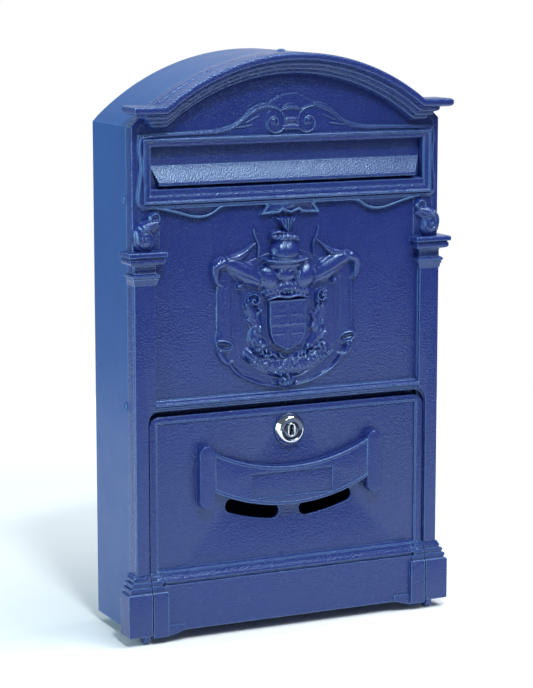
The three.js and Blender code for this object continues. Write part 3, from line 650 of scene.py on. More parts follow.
def cornice(bm):
    """The top member with its bullnose, and the stepped mouldings under it, mitred at the springing."""
    top = [(-2, 0), (13.8, 0), (14.9, -0.5), (15.5, -1.6), (15.5, -3.6), (15, -4.7), (13.9, -5.4),
           (12.4, -5.8), (-2, -5.8)]
    lower = [
        (-2, -5), (12, -5), (12.3, -6), (12.2, -7.4), (11.6, -8.5), (10.2, -9.1), (9, -9.3), (8.9, -10.4),
        (8.3, -11.5), (7, -12), (5.7, -12.2), (5.6, -13.4), (4.9, -14.3), (3.4, -14.8), (2.2, -15.2),
        (-2, -15.2),
    ]
    spring = math.degrees(math.acos((CORNICE_LEVEL - CORNICE_CENTRE) / CORNICE_RADIUS))
    curve = arc(0, CORNICE_CENTRE, CORNICE_RADIUS, 90 - spring, 90 + spring, 65)
    for base, profile, ends in ((TIP_BASE, top, -64.2), (MOULD_BASE, lower, -68)):
        path = [(base, CORNICE_LEVEL), *curve, (-base, CORNICE_LEVEL)]
        normals = mitred(path, False)
        stations = [((base, ends, CORNICE_LEVEL), (1, 0, 0), (0, 0, 1))]
        for (x, z), (nx, nz) in zip(path, normals):
            out = (0, -1, 0)
            if abs(abs(x) - base) < 1e-6:
                out = (math.copysign(1, x), -1, 0)
                nx, nz = 0, -1
            stations.append(((x, FACE_Y, z), out, (-nx, 0, -nz)))
        stations.append(((-base, ends, CORNICE_LEVEL), (-1, 0, 0), (0, 0, 1)))
        sweep(bm, stations, profile)


def capital(bm):
    """The right-hand capital, wrapped round the pilaster from its flank to the panel."""
    profile = [
        (-3, 248.8), (0.3, 249), (0.6, 249.8), (0.9, 251.8), (1.5, 252.6), (1.6, 253.2), (1.3, 253.7),
        (1.5, 254.1), (2.2, 254.5), (2.5, 255.2), (2.3, 256.1), (1.6, 256.7), (0.4, 257.1), (0, 257.8),
        (0, 261.8), (0.4, 262.8), (2.6, 263.3), (4.4, 263.9), (5.3, 265), (5.5, 266.4), (5.1, 267.6),
        (4.5, 268.1), (4.5, 268.5), (6, 268.8), (6.7, 269.2), (6.8, 270), (6.7, 271.6), (6.3, 272.2),
        (5.6, 272.5), (-3, 272.6),
    ]
    stations = [
        ((119.8, -63.2, 0), (0.95, 0, 0), (0, 0, 1)),
        ((119.8, PILASTER_Y, 0), (0.95, -1, 0), (0, 0, 1)),
        ((PILASTER_INNER, PILASTER_Y, 0), (-0.92, -1, 0), (0, 0, 1)),
        ((PILASTER_INNER, PANEL_Y + 1, 0), (-0.92, 0, 0), (0, 0, 1)),
    ]
    sweep(bm, stations, profile)


def pilaster(bm):
    shaft = [(119.95, 43.6), (119.95, 250), (PILASTER_INNER + 0.2, 250), (PILASTER_INNER + 0.2, 160.6),
             (107.2, 158.8), (109.4, 155), (110.1, 150), (110.1, 43.6)]
    filled(bm, shaft, [], FACE_Y + 1.5, PILASTER_Y, 0.7)


BLOCK_PROFILE = [
    (-1, 0), (7.2, 0), (7.7, 0.4), (7.9, 1.2), (7.9, 29.4), (7.6, 30.4), (6.9, 30.9), (5.9, 31), (5.7, 31.4),
    (5.7, 31.9), (6.2, 32.3), (6.4, 32.9), (6.4, 34), (6, 34.7), (4.5, 34.9), (4.2, 35.2), (4.2, 35.7),
    (4.8, 36.1), (5, 36.7), (5, 37.7), (4.6, 38.4), (3, 38.6), (2.6, 39), (2.6, 39.4), (3.2, 39.8),
    (3.3, 40.3), (3.1, 41.2), (2.4, 41.9), (2, 43), (1.6, 43.6), (-1, 44.4),
]


def corner_block(bm):
    """The frame's half of the right-hand plinth block, up to the gap beside the door."""
    stations = [
        ((119.9, -63.3, 0), (1, 0, 0), (0, 0, 1)),
        ((119.9, FACE_Y - 0.6, 0), (1, -0.76, 0), (0, 0, 1)),
        ((OPENING_HALF + 0.1, FACE_Y - 0.6, 0), (0, -0.76, 0), (0, 0, 1)),
    ]
    sweep(bm, stations, BLOCK_PROFILE)
    block(bm, OPENING_HALF + 0.1, 119, FACE_Y - 0.6, -63.5, 0.1, 44, 0.2)


def ear(bm):
    """The rounded ear under the corner block that holds the door's pin."""
    profile = [(2.3, 0), (5, 0), (5.6, 0.3), (5.8, 0.8), (5.8, 3.8), (5.6, 4.3), (5, 4.6), (2.3, 4.6)]
    lathe(bm, profile, (111, DOOR_AXIS_Y, DOOR_AXIS_Z), (1, 0, 0), 40)


def door_stop(bm):
    block(bm, 0, 105, -65.9, -64.2, 154, 161, 0.3)
    block(bm, 106, 118.5, DOOR_BACK_Y + GAP, DOOR_BACK_Y + GAP + 2.5, 8, 161, 0.3)


def cast_front():
    bm = bmesh.new()
    front_plates(bm)
    rim(bm)
    slot_frame(bm)
    header(bm)
    cornice(bm)
    sill = [(-69, 159.1), (-69, 167.4), (-71.9, 167.2), (-72.6, 166.9), (-73, 166.2), (-74.6, 165.9),
            (-75.8, 165.2), (-76.3, 164.2), (-76.2, 163.2), (-75.4, 162.3), (-74.3, 161.9), (-74.1, 160.9),
            (-73.4, 160.2), (-72.6, 159.8), (-72.2, 159.1)]
    along_x(bm, sill, -104.3, 104.3)
    block(bm, -11, 11, CAM_CATCH_Y, PANEL_Y + 1, 161, 168, 0.4)
    half = bmesh.new()
    for part in (capital, pilaster, corner_block, ear, door_stop):
        part(half)
    add_halves(bm, half)
    piece = finish_mesh(bm, "cast_front", CASTING, "housing")
    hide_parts("front_casting")


# ------------------------------------------------------------------ reliefs
class Relief:
    """A height field in front of a plane, made of domes, ridges and grooves."""

    def __init__(self, x0, x1, z0, z1, step):
        self.x, self.z = np.meshgrid(np.arange(x0, x1 + step / 2, step), np.arange(z0, z1 + step / 2, step))
        self.height = np.full(self.x.shape, -1.0)

    def lift(self, field, blend):
        """Joins a field to the relief, softly where they meet."""
        mix = np.clip(0.5 + 0.5 * (field - self.height) / blend, 0, 1)
        self.height = self.height * (1 - mix) + field * mix + blend * mix * (1 - mix)

    def local(self, cx, cz, tilt=0.0):
        angle = math.radians(tilt)
        dx, dz = self.x - cx, self.z - cz
        return (dx * math.cos(angle) + dz * math.sin(angle), -dx * math.sin(angle) + dz * math.cos(angle))

    def dome(self, cx, cz, rx, rz, high, tilt=0.0):
        u, v = self.local(cx, cz, tilt)
        inside = 1 - (u / rx) ** 2 - (v / rz) ** 2
        return np.where(inside > 0, high * np.sqrt(np.maximum(inside, 0)), inside * 2 - 1)

    def distance(self, points):
        """Distance to a polyline and how far along it, from 0 to 1, the nearest point lies."""
        best = np.full(self.x.shape, 1e9)
        along = np.zeros(self.x.shape)
        points = np.asarray(points, dtype=float)
        lengths = np.linalg.norm(np.diff(points, axis=0), axis=1)
        total, done = lengths.sum(), 0.0
        for (ax, az), (bx, bz), length in zip(points, points[1:], lengths):
            t = ((self.x - ax) * (bx - ax) + (self.z - az) * (bz - az)) / length**2
            t = np.clip(t, 0, 1)
            d = np.hypot(self.x - ax - t * (bx - ax), self.z - az - t * (bz - az))
            closer = d < best
            best = np.where(closer, d, best)
            along = np.where(closer, (done + t * length) / total, along)
            done += length
        return best, along

    def ridge(self, points, radii, high):
        """A rounded ridge along a curve; its radius runs through `radii` from end to end."""
        d, t = self.distance(spline(points, 6))
        radius = np.interp(t, np.linspace(0, 1, len(radii)), radii)
        inside = 1 - (d / radius) ** 2
        top = high * np.sqrt(np.maximum(inside, 0)) * np.sqrt(radius / max(radii))
        return np.where(inside > 0, top, inside - 1)

    def groove(self, points, width, deep):
        d, _ = self.distance(spline(points, 6))
        self.height -= np.where(self.height > 0, deep * np.exp(-((d / width) ** 2)), 0)

    def grooves(self, points, width, deep):
        """The same groove on the left and on the right."""
        for side in (-1, 1):
            self.groove([(side * x, z) for x, z in points], width, deep)

    def scroll(self, cx, cz, radius, high, turns, start, hand):
        """A volute: a flat boss whose rim winds in to an eye, left-handed for a hand of -1."""
        u, v = self.local(cx, cz)
        r = np.hypot(u, v)
        angle = (np.arctan2(v, u * hand) + math.radians(start)) % (2 * math.pi)
        pitch = radius / turns
        phase = ((r / pitch + angle / (2 * math.pi)) % 1.0) - 0.5
        winding = 0.62 + 0.38 * np.cos(phase * 2 * math.pi)
        eye = np.exp(-((r / (radius * 0.22)) ** 2))
        body = np.clip((radius - r) / 1.1, 0, 1) ** 0.5
        return np.where(r < radius, high * body * np.maximum(winding, eye), -1 - (r - radius))

    def into(self, bm, base_y, mirrored=False):
        """Adds the raised part as a mesh whose edge turns back into the face behind."""
        raised = self.height > -0.35
        cells = raised[:-1, :-1] | raised[1:, :-1] | raised[:-1, 1:] | raised[1:, 1:]
        depth = np.maximum(self.height, -0.5)
        used = np.zeros(raised.shape, dtype=bool)
        used[:-1, :-1] |= cells
        used[1:, :-1] |= cells
        used[:-1, 1:] |= cells
        used[1:, 1:] |= cells
        for sign in (1, -1) if mirrored else (1,):
            verts = {}
            for row, column in zip(*np.nonzero(used)):
                verts[row, column] = bm.verts.new(
                    (sign * self.x[row, column], base_y - depth[row, column], self.z[row, column])
                )
            for row, column in zip(*np.nonzero(cells)):
                corners = ((row, column), (row, column + 1), (row + 1, column + 1), (row + 1, column))
                bm.faces.new([verts[c] for c in (corners if sign > 0 else corners[::-1])])


def both(primitive, *values):
    """A relief's primitive on the right, and its mirror image on the left."""
    right = primitive(*values)
    return np.maximum(right, right[:, ::-1])


def crest():
    """A generic heraldic ornament: helmet and plume, knotted cloak, plain shield, scrolls and garland."""
    r = Relief(-60, 60, 166, 294, 0.4)
    # cloak hanging behind everything
    half = np.interp(r.z, [168, 172, 180, 192, 206, 246, 258, 266, 272], [4, 15, 34, 46, 48, 46, 40, 16, -4])
    edge = half - np.abs(r.x)
    r.lift(np.where(edge > 0, 0.8 * np.clip(edge / 2, 0, 1), -1 + edge * 0.2), 0.4)
    # wide rolled drapes with open ends, an inner fold and the ribbon tails
    r.lift(both(r.ridge, [(47, 256), (47.5, 232), (47.4, 214), (48.4, 204)], [6, 6.8, 7, 7.6], 2.7), 0.9)
    r.lift(both(r.ridge, [(36.5, 238), (37, 222), (37.4, 208), (37, 198)], [1.6, 2.2, 2, 1.4], 1.3), 0.8)
    r.lift(both(r.ridge, [(52, 198), (50, 193.6), (46.4, 190), (42, 190.6)], [2.4, 2.6, 2.2, 1], 3.6), 0.6)
    u = np.abs(r.x) - 48.6
    mouth = (u * 0.97 + (r.z - 202.6) * 0.24) ** 2 / 6.4**2 + ((r.z - 202.6) * 0.97 - u * 0.24) ** 2 / 3.1**2
    r.height += np.where(mouth < 1.6, 1.1 * np.exp(-(((mouth - 1.05) / 0.28) ** 2)), 0)
    r.height -= np.where(mouth < 1, 2.6 * (1 - mouth), 0)
    r.grooves([(42.6, 246), (42.8, 226), (42.6, 208)], 0.8, 0.7)
    r.grooves([(50.6, 244), (51, 226), (51.4, 210)], 0.9, 0.5)
    # cloth swept up from the collar to the shoulder knots, and its upswept points
    r.lift(both(r.ridge, [(21, 246), (30, 252), (40, 258), (50, 261.4)], [4.6, 8.4, 6.6, 4.4], 6), 0.8)
    r.lift(both(r.ridge, [(50, 261.4), (55.4, 258.4), (55.6, 251), (54, 246.6)], [4.4, 3.8, 3, 2], 6.6), 0.8)
    upswept = [(42, 262), (34, 266.4), (27.6, 271.6), (24.4, 273.6)]
    r.lift(both(r.ridge, upswept, [4.6, 3.2, 1.7, 0.9], 4.8), 0.9)
    r.lift(both(r.ridge, [(21.6, 264), (21.4, 272), (24, 278), (25.4, 283.4)], [1.6, 1.3, 1, 0.6], 2.8), 0.5)
    r.grooves([(24, 255.6), (34, 261.4), (46, 264)], 0.7, 0.9)
    r.grooves([(24, 247.4), (36, 252.4), (50, 257)], 0.6, 0.6)
    r.grooves([(21.4, 243), (20.4, 252), (19.4, 260)], 0.7, 1.4)
    r.lift(both(r.dome, 37.3, 244.4, 2.5, 2.5, 5.6), 0.2)
    # shoulders, collar, helmet
    r.lift(both(r.dome, 14.4, 248.6, 8, 10.4, 7, -22), 0.5)
    r.lift(both(r.ridge, [(0, 252), (4.4, 254.6), (8.6, 250.6), (10.4, 245)], [1.2, 1.8, 1.6, 1], 6), 0.4)
    r.lift(r.dome(-1, 258, 16, 5, 7), 0.5)
    r.lift(r.dome(-0.6, 250.6, 9.4, 6.6, 5.6), 0.6)
    brim = [(-17, 261.6), (-9, 260.2), (-1, 259.8), (7, 260.2), (14.4, 261.4)]
    r.lift(r.ridge(brim, [1.5, 1.9, 1.4], 8.6), 0.3)
    r.lift(r.dome(-1.4, 266.4, 12, 10, 9.6), 0.5)
    r.groove([(-12.6, 263.8), (-6, 262.8), (-1, 262.6), (5, 262.9), (10.4, 263.8)], 0.6, 1)
    r.groove([(-1.4, 275), (-3.4, 269), (-3.2, 264)], 0.6, 0.6)
    # torse, ribbon and the two leaves of the plume
    r.lift(r.ridge([(-11, 278), (-5, 277), (2, 277), (8, 275.8)], [2.6, 3.8, 3.6, 2.6], 6.8), 0.5)
    r.lift(r.ridge([(-12, 280.6), (-7, 281.2), (-1, 280)], [1.6, 1.8, 1.2], 6), 0.3)
    for offset in (-9, -6, -3, 0.4, 3.6, 6.6):
        r.groove([(offset - 1, 275), (offset + 1, 280)], 0.4, 0.9)
    tuft = np.interp(r.z, [280, 282, 286, 290.6, 292], [0.6, 1.8, 4.4, 7.4, 7.2])
    inside = np.minimum(tuft - np.abs(r.x + 0.4 + (r.z - 281) * 0.05), 291.6 + 0.5 * np.cos(r.x * 1.5) - r.z)
    comb = 0.7 * np.cos(np.arctan2(r.x + 0.4, r.z - 277) * 34)
    r.lift(np.where((inside > 0) & (r.z > 280), (5 + comb) * np.clip(inside / 1.4, 0, 1) ** 0.5, -1), 0.3)
    # pearled crown over the shield
    buds = np.random.default_rng(7)
    r.lift(r.ridge([(-15, 238), (0, 241.6), (15, 238)], [4.4, 5.4, 4.4], 5), 0.6)
    for row, count in enumerate((9, 10, 9)):
        for i in range(count):
            x = (i - (count - 1) / 2) * 3.3 + buds.uniform(-0.5, 0.5)
            z = 243.6 - row * 3.1 - 0.012 * x * x + buds.uniform(-0.4, 0.4)
            size = buds.uniform(1.1, 1.8)
            r.lift(r.dome(x, z, size, size * 1.2, 5.4 + buds.uniform(-0.6, 0.8), buds.uniform(-60, 60)), 0.2)
    circlet = [(-15.6, 233.6), (-8, 235.4), (0, 234.6), (8, 235.4), (15.6, 233.6)]
    r.lift(r.ridge(circlet, [1.2, 1.8, 1.2], 6.8), 0.3)
    # plain quarterly shield
    half = np.interp(r.z, [196, 198.6, 202, 208, 214, 234], [0, 6, 11.6, 14.2, 15, 15])
    inside = np.minimum.reduce([half - np.abs(r.x), 233.4 - r.z, r.z - 196])
    rim_line = np.exp(-(((inside - 1) / 0.6) ** 2))
    r.lift(np.where(inside > 0, 4.6 * np.clip(inside / 1.2, 0, 1) ** 0.5 + 0.5 * rim_line, -1 + inside), 0.2)
    for line in ([(-14, 215), (14, 215)], [(0, 233), (0, 198)]):
        d, _ = r.distance(line)
        r.height += np.where(inside > 0.8, 0.45 * np.exp(-((d / 0.6) ** 2)), 0)
    upright = 0.1 * np.sin(r.x * 3.1) * ((r.x * (r.z - 215)) > 0)
    level = 0.3 * np.exp(-(((r.z - 222) / 0.6) ** 2)) + 0.3 * np.exp(-(((r.z - 208.6) / 0.6) ** 2))
    r.height += np.where(inside > 2.2, upright + level * (np.abs(np.abs(r.x) - 7) < 4.4), 0)
    # leafy scrolls on both sides of the shield, where supporters would stand
    stem = [(20, 200), (25, 206), (23.6, 214), (25.6, 222), (28.4, 229), (26.4, 235)]
    stem_x, stem_z = zip(*stem)
    for side in (-1, 1):
        r.lift(r.ridge([(side * x, z) for x, z in stem], [4.6, 5.6, 5, 5.2, 4.4, 3], 4.4), 0.8)
        r.lift(r.scroll(side * 26.6, 233.8, 5, 6.6, 1.2, 40, side), 0.6)
        for height in np.linspace(198, 236, 19):
            x = side * (np.interp(height, stem_z, stem_x) + buds.uniform(-5.4, 5.8))
            long, tilt = buds.uniform(1.8, 3.8), buds.uniform(-75, 75)
            r.lift(r.dome(x, height, long * 0.5, long, 5.2 + buds.uniform(-0.9, 1.1), tilt), 0.35)
            dx, dz = long * 0.3, long * 0.5
            r.groove([(x - dx, height - dz), (x + dx, height + dz)], 0.35, 0.5)
    # garland of buds and leaves under the shield
    swag = [(-30, 196), (-20, 187.6), (0, 184.4), (20, 187.6), (30, 196)]
    r.lift(r.ridge(swag, [4, 6.6, 7.4, 6.6, 4], 4.3), 0.8)
    for angle in np.linspace(-1, 1, 34):
        for row in range(4):
            x = angle * (31 - row * 2) + buds.uniform(-1.4, 1.4)
            z = 179.6 + 13 * angle**2 + row * 3.7 + buds.uniform(-1.3, 1.3)
            if z > 192.6 + 9 * abs(angle):
                continue
            size = buds.uniform(0.6, 1.7)
            high = 5 - row * 0.2 + buds.uniform(-0.8, 0.9)
            r.lift(r.dome(x, z, size, size * buds.uniform(0.9, 2.6), high, buds.uniform(-80, 80)), 0.35)
    # ribbons swinging down to the shell at the foot
    for start, foot, wide in ((48, 169.6, 1.2), (37, 175.8, 0.9)):
        points = [(start, 193), (start * 0.76, foot + 11), (start * 0.4, foot + 3), (6, foot + 0.4)]
        r.lift(both(r.ridge, points, [wide, wide * 1.15, wide], 2.6), 0.3)
    r.lift(r.dome(0, 173.6, 7.4, 5, 4.6), 0.4)
    for lean in (-0.9, -0.45, 0, 0.45, 0.9):
        r.groove([(lean * 2, 177), (lean * 7.4, 169.6)], 0.5, 1)
    for x, z in ((0, 178), (-4, 176.4), (4, 176.4), (-6.4, 173.4), (6.4, 173.4), (0, 172)):
        r.lift(r.dome(x, z, 1.6, 1.6, 6), 0.15)
    r.x = r.x + CREST_X
    bm = bmesh.new()
    r.into(bm, PANEL_Y - 0.05)
    piece = finish_mesh(bm, "crest", RELIEF_COAT, "housing", sharp=70, merge=False)
    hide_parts("crest_relief")


def slot_crown():
    """What stands on the header plate over the slot: volutes, a shell between them, a knot, leaf tips."""
    r = Relief(0, 52, 349.6, 378.6, 0.35)
    r.lift(r.dome(11.8, 359.4, 8, 9.6, 0.9), 0.6)
    r.lift(r.dome(13.6, 359, 2.6, 2.8, 1.9), 0.5)
    r.lift(r.dome(0, 363, 9, 9, 0.7), 0.5)
    r.lift(r.ridge([(0, 368.4), (4.4, 368), (8.4, 366.6)], [1, 1.1, 0.6], 2), 0.2)
    r.lift(r.ridge([(0, 360), (4, 359.6)], [2, 1.8], 1.9), 0.4)
    r.lift(r.ridge([(0, 354.8), (5, 354.6)], [2.4, 2.2], 1.9), 0.4)
    r.lift(r.ridge([(44, 355.6), (38, 355.8), (30, 357)], [0.5, 0.9, 0.6], 1), 0.2)
    r.lift(r.ridge([(35, 358.6), (29, 361.4), (25, 363)], [0.5, 0.9, 0.6], 0.9), 0.2)
    bm = bmesh.new()
    r.into(bm, PLATE_Y + 0.05, mirrored=True)
    finish_mesh(bm, "slot_crown", CASTING, "housing", sharp=70)


def brackets():
    """The scrolled brackets that stand on the capitals: a button over a leafy volute."""
    r = Relief(98.4, 121.4, 271, 301, 0.3)
    u, v = r.local(112.6, 281.4, -12)
    bulk = 1 - np.abs(u / 7.7) ** 2.6 - np.abs(v / 9.8) ** 2.4
    r.lift(np.where(bulk > 0, 6.4 * np.sqrt(np.clip(bulk, 0, 1)), -1 + bulk * 2), 0.4)
    r.lift(r.ridge([(104.6, 291.4), (108.4, 290.4), (113, 288.6)], [3, 4.2, 4.6], 6.6), 0.8)
    r.lift(r.ridge([(101.4, 289.6), (104.4, 288.4), (107, 286)], [1.6, 2.4, 2], 3.4), 0.6)
    leaf = np.exp(-(((r.x - 112.4) / 5) ** 2) - ((r.z - 288.2) / 2.8) ** 2)
    grain = np.sin(r.x * 2.9 + r.z * 1.1) * np.sin(r.z * 3.1 - r.x * 0.8)
    r.height += np.where(r.height > 2, leaf * (0.35 * grain + 0.5), 0)
    curl = [(119, 286), (117.6, 277), (112.4, 273.6), (107.6, 277), (106.6, 282), (109.6, 285.6),
            (113.6, 285.4), (115.6, 282.2), (114, 279.2), (111.4, 279.4), (110.6, 281.6)]
    r.groove(curl, 0.55, 0.9)
    r.lift(r.dome(112.3, 282, 1.7, 1.7, 7.2), 0.3)
    d = np.hypot(r.x - 104.5, r.z - 295.2)
    ring = np.where(d < 4.7, 3.1 + 1.9 * np.exp(-(((d - 3.3) / 0.85) ** 2)), -1 - (d - 4.7))
    r.lift(ring, 0.35)
    r.height = np.where(r.x > 119.9, -1, r.height)
    bm = bmesh.new()
    r.into(bm, FACE_Y + 0.1, mirrored=True)
    finish_mesh(bm, "brackets", RELIEF_COAT, "housing", sharp=70)


# ------------------------------------------------------------------ letter flap
def letter_flap():
    """A pebbled plate whose foot turns out into a sloped finger lip with clipped ends."""
    bm = bmesh.new()
    lip_top, lip_foot, lip_y, clip = 330.6, 318.8, -74.4, 5.5
    block(bm, -FLAP_HALF, FLAP_HALF, FLAP_FRONT_Y, FLAP_BACK_Y, FLAP_FOOT, FLAP_AXIS_Z + 1.3, 0.35)
    profile = [(FLAP_FRONT_Y + 0.6, lip_top + 0.7), (FLAP_FRONT_Y, lip_top), (lip_y + 0.25, lip_foot + 0.55),
               (lip_y, lip_foot), (lip_y + 0.1, lip_foot - 1.3), (lip_y + 0.6, lip_foot - 1.9),
               (FLAP_FRONT_Y + 0.6, FLAP_FOOT + 0.2)]
    rings = []
    for side in (-1, 1):
        foot_x, top_x = side * (FLAP_HALF - clip), side * (FLAP_HALF - 0.6)
        ring = []
        for y, z in profile:
            share = min(max((lip_top - z) / (lip_top - lip_foot), 0), 1)
            ring.append(bm.verts.new((top_x + (foot_x - top_x) * share, y, z)))
        rings.append(ring)
    first, second = rings
    for i in range(len(profile)):
        j = (i + 1) % len(profile)
        bm.faces.new((first[i], first[j], second[j], second[i]))
    bm.faces.new(first)
    bm.faces.new(second[::-1])
    lathe(bm, [(1.8, 0), (2.4, 0), (2.4, 2 * FLAP_HALF), (1.8, 2 * FLAP_HALF), (1.8, 0)],
          (-FLAP_HALF, FLAP_AXIS_Y, FLAP_AXIS_Z), (1, 0, 0), 32)
    piece = finish_mesh(bm, "flap_plate", FLAP_COAT, "flap")
    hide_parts("letter_flap")


# ------------------------------------------------------------------ door
def view_slot():
    """The round-ended slot on an arc to the right of the middle."""
    half = SLOT_WIDTH / 2
    start = math.degrees(math.asin((8 + half) / BAND_RADIUS)) - 90
    end = math.degrees(math.asin((50.5 - half) / BAND_RADIUS)) - 90
    out = []
    edges = ((start, end, BAND_RADIUS + half, 0), (end, start, BAND_RADIUS - half, 180))
    for here, there, radius, turned in edges:
        a = math.radians(there)
        x, z = BAND_RADIUS * math.cos(a), SLOT_CENTRE + BAND_RADIUS * math.sin(a)
        out += arc(0, SLOT_CENTRE, radius, here, there, 15)
        out += arc(x, z, half, there + turned, there + turned + 180, 10)[1:-1]
    return out


def name_band(bm):
    """The curved band with a sunk place for a name, between two round-ended posts."""
    spread = math.degrees(math.asin(BAND_HALF / BAND_RADIUS))
    low = arc(0, BAND_FOOT + BAND_RADIUS, BAND_RADIUS, -90 - spread, -90 + spread, 33)
    high = arc(0, BAND_HEAD + BAND_RADIUS, BAND_RADIUS, -90 + spread, -90 - spread, 33)
    card = [(-32, 91), (32, 91), (32, 108.6), (-32, 108.6)]
    filled(bm, low + high, [card], DOOR_FRONT_Y + 1, BAND_Y, 0.8)
    filled(bm, rectangle(33.5, 89.6, 109.8), [], DOOR_FRONT_Y + 1.5, BAND_Y + 1.3, 0.1)
    rim_low = [(x * 0.985, z + 1.5) for x, z in low]
    rim_high = [(x * 0.985, z - 1.5) for x, z in high]
    for path in (rim_low, rim_high):
        follow(bm, path, line_profile(0.8, 0.35), BAND_Y)
    for side in (-1, 1):
        x = side * 66.6
        post = [*arc(x, 92.6, 6.1, 180, 360, 17), *arc(x, 126.6, 6.1, 0, 180, 17)]
        filled(bm, post, [], DOOR_FRONT_Y + 1, -79.4, 1.3)


def door():
    bm = bmesh.new()
    lock_hole = arc(0, LOCK_Z, 9.6, 0, 350, 36)
    slot = view_slot()
    other = flipped(slot)
    plate = door_outline(DOOR_HALF, 20, DOOR_HEAD, 8)
    filled(bm, plate, [slot, other, lock_hole], DOOR_BACK_Y, DOOR_FRONT_Y, 0.5)
    border = door_outline(DOOR_HALF, 34, DOOR_HEAD, 8)
    inside = rectangle(FIELD_HALF, FIELD_FOOT, FIELD_HEAD)
    filled(bm, border, [inside], DOOR_BACK_Y + 0.1, DOOR_BORDER_Y, 0.7)
    field = rectangle(FIELD_HALF - 0.2, FIELD_FOOT + 0.2, FIELD_HEAD - 0.2)
    follow(bm, field, line_profile(0.9, 0.5), DOOR_BORDER_Y + 0.6, closed=True)
    fascia = [
        (DOOR_BACK_Y, DOOR_FOOT), (-76.6, DOOR_FOOT), (-77, DOOR_FOOT + 0.5), (-77, 34.6), (-76.5, 35.1),
        (-75.9, 35.3), (-75.8, 36.5), (-77.4, 36.9), (-77.9, 37.5), (-78, 38.3), (-77.6, 39.2), (-76.8, 40.4),
        (-76, 42), (-75.6, 43.4), (-75.9, 44), (-75.6, 44.8), (-74.6, 45.2), (-73.6, 45.5), (DOOR_BACK_Y, 46),
    ]
    along_x(bm, fascia, -99, 99)
    upper = [(y if y > -73.5 else y + 0.9, z) for y, z in fascia if z > 33]
    along_x(bm, [(DOOR_BACK_Y, 33), *upper], -104.6, 104.6)
    name_band(bm)
    half = bmesh.new()
    back_x = BLOCK_INNER + 7.9
    stations = [
        ((DOOR_HALF, FACE_Y - 0.6, 0), (0, -0.76, 0), (0, 0, 1)),
        ((back_x, FACE_Y - 0.6, 0), (-1, -0.76, 0), (0, 0, 1)),
        ((back_x, DOOR_BACK_Y - 0.3, 0), (-1, 0, 0), (0, 0, 1)),
    ]
    inner = [(o, u if u > 2 else u - 1.6) for o, u in BLOCK_PROFILE]
    sweep(half, stations, inner)
    block(half, back_x - 0.5, DOOR_HALF - 0.05, FACE_Y - 0.4, DOOR_BACK_Y, 4, 44, 0.2)
    slope = [(BLOCK_INNER + 0.5, -1.6), (BLOCK_INNER + 0.5, 6), (84, 6), (84, 1.5), (87, 0.7), (91, -0.5),
             (95, -1.5)]
    filled(half, slope, [], -71, -78.4, 0.4)
    lathe(half, [(2.3, 0), (3.4, 0), (3.8, 0.4), (3.8, 10.2), (3.4, 10.6), (2.3, 10.6)],
          (BLOCK_INNER + 0.6, DOOR_AXIS_Y, DOOR_AXIS_Z), (1, 0, 0), 32)
    add_halves(bm, half)
    piece = finish_mesh(bm, "door_front", CASTING, "door")
    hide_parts("door_casting")


# ------------------------------------------------------------------ lock
def lock():
    """A chromed cam lock: raised bezel, dished ring, and a plug with a keyway."""
    bm = bmesh.new()
    front = -BEZEL_BACK_Y
    profile = [
        (PLUG_RADIUS + GAP, 52), (9, 52), (9.3, 52.3), (9.3, front), (BEZEL_RADIUS - 0.2, front),
        (BEZEL_RADIUS, front + 0.3), (BEZEL_RADIUS, front + 1), (BEZEL_RADIUS - 0.3, front + 1.5),
        (BEZEL_RADIUS - 1, front + 2.5), (BEZEL_RADIUS - 1.9, front + 3.8), (BEZEL_RADIUS - 2.6, front + 4.6),
        (BEZEL_RADIUS - 3, front + 4.9), (BEZEL_RADIUS - 3.4, front + 4.9),
    ]
    lathe(bm, profile, (0, 0, LOCK_Z), (0, -1, 0), 72)
    piece = finish_mesh(bm, "lock_bezel", CHROME, "door", sharp=40)
    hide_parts("lock_housing")

    bm = bmesh.new()
    dish = [
        (BEZEL_RADIUS - 3.4, front + 3), (BEZEL_RADIUS - 3.4, front + 4.9),
        (BEZEL_RADIUS - 3.7, front + 4.75), (BEZEL_RADIUS - 4.1, front + 4.2), (PLUG_RADIUS + 1, front + 3.9),
        (PLUG_RADIUS + GAP, front + 3.8), (PLUG_RADIUS + GAP, front + 3), (BEZEL_RADIUS - 3.4, front + 3),
    ]
    lathe(bm, dish, (0, 0, LOCK_Z), (0, -1, 0), 72)
    # the dish's dark blue-grey is partly a painted reflection
    finish_mesh(bm, "lock_dish", REFLECTION_DARKENED_PLATING, "door", sharp=40)

    bm = bmesh.new()
    face = front + 4.1
    keyway = [(-1.1, -3.9), (-0.4, -3.9), (-0.4, -1.6), (1.1, -1.6), (1.1, 0.6), (0.3, 0.6), (0.3, 2),
              (1.1, 2), (1.1, 3.9), (-1.1, 3.9)]
    keyway = [(x, LOCK_Z + z) for x, z in keyway]
    plug_rim = arc(0, LOCK_Z, PLUG_RADIUS, 0, 354, 60)
    filled(bm, plug_rim, [keyway], -face + 14, -face, 0.35)
    filled(bm, plug_rim, [], -51.7, -face + 13.9, 0.2)
    plug = finish_mesh(bm, "lock_plug_face", REFLECTION_DARKENED_PLATING, "lock", sharp=40)
    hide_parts("lock_plug")

    bm = bmesh.new()
    rim_line = [(x, z + math.copysign(2, z - LOCK_Z)) for x, z in arc(0, LOCK_Z, 2.5, 0, 352, 45)]
    follow(bm, rim_line, line_profile(0.55, 0.45), -face, closed=True)
    finish_mesh(bm, "keyway_rim", CHROME, "lock")

    bm = bmesh.new()
    # a dark block behind the keyway: painted shade inside the keyhole
    block(bm, -1.6, 1.6, -face + 2.2, -face + 6, LOCK_Z - 4.4, LOCK_Z + 4.4, 0.1)
    finish_mesh(bm, "keyway_shutter", KEYWAY_SHADE_PAINT, "lock")


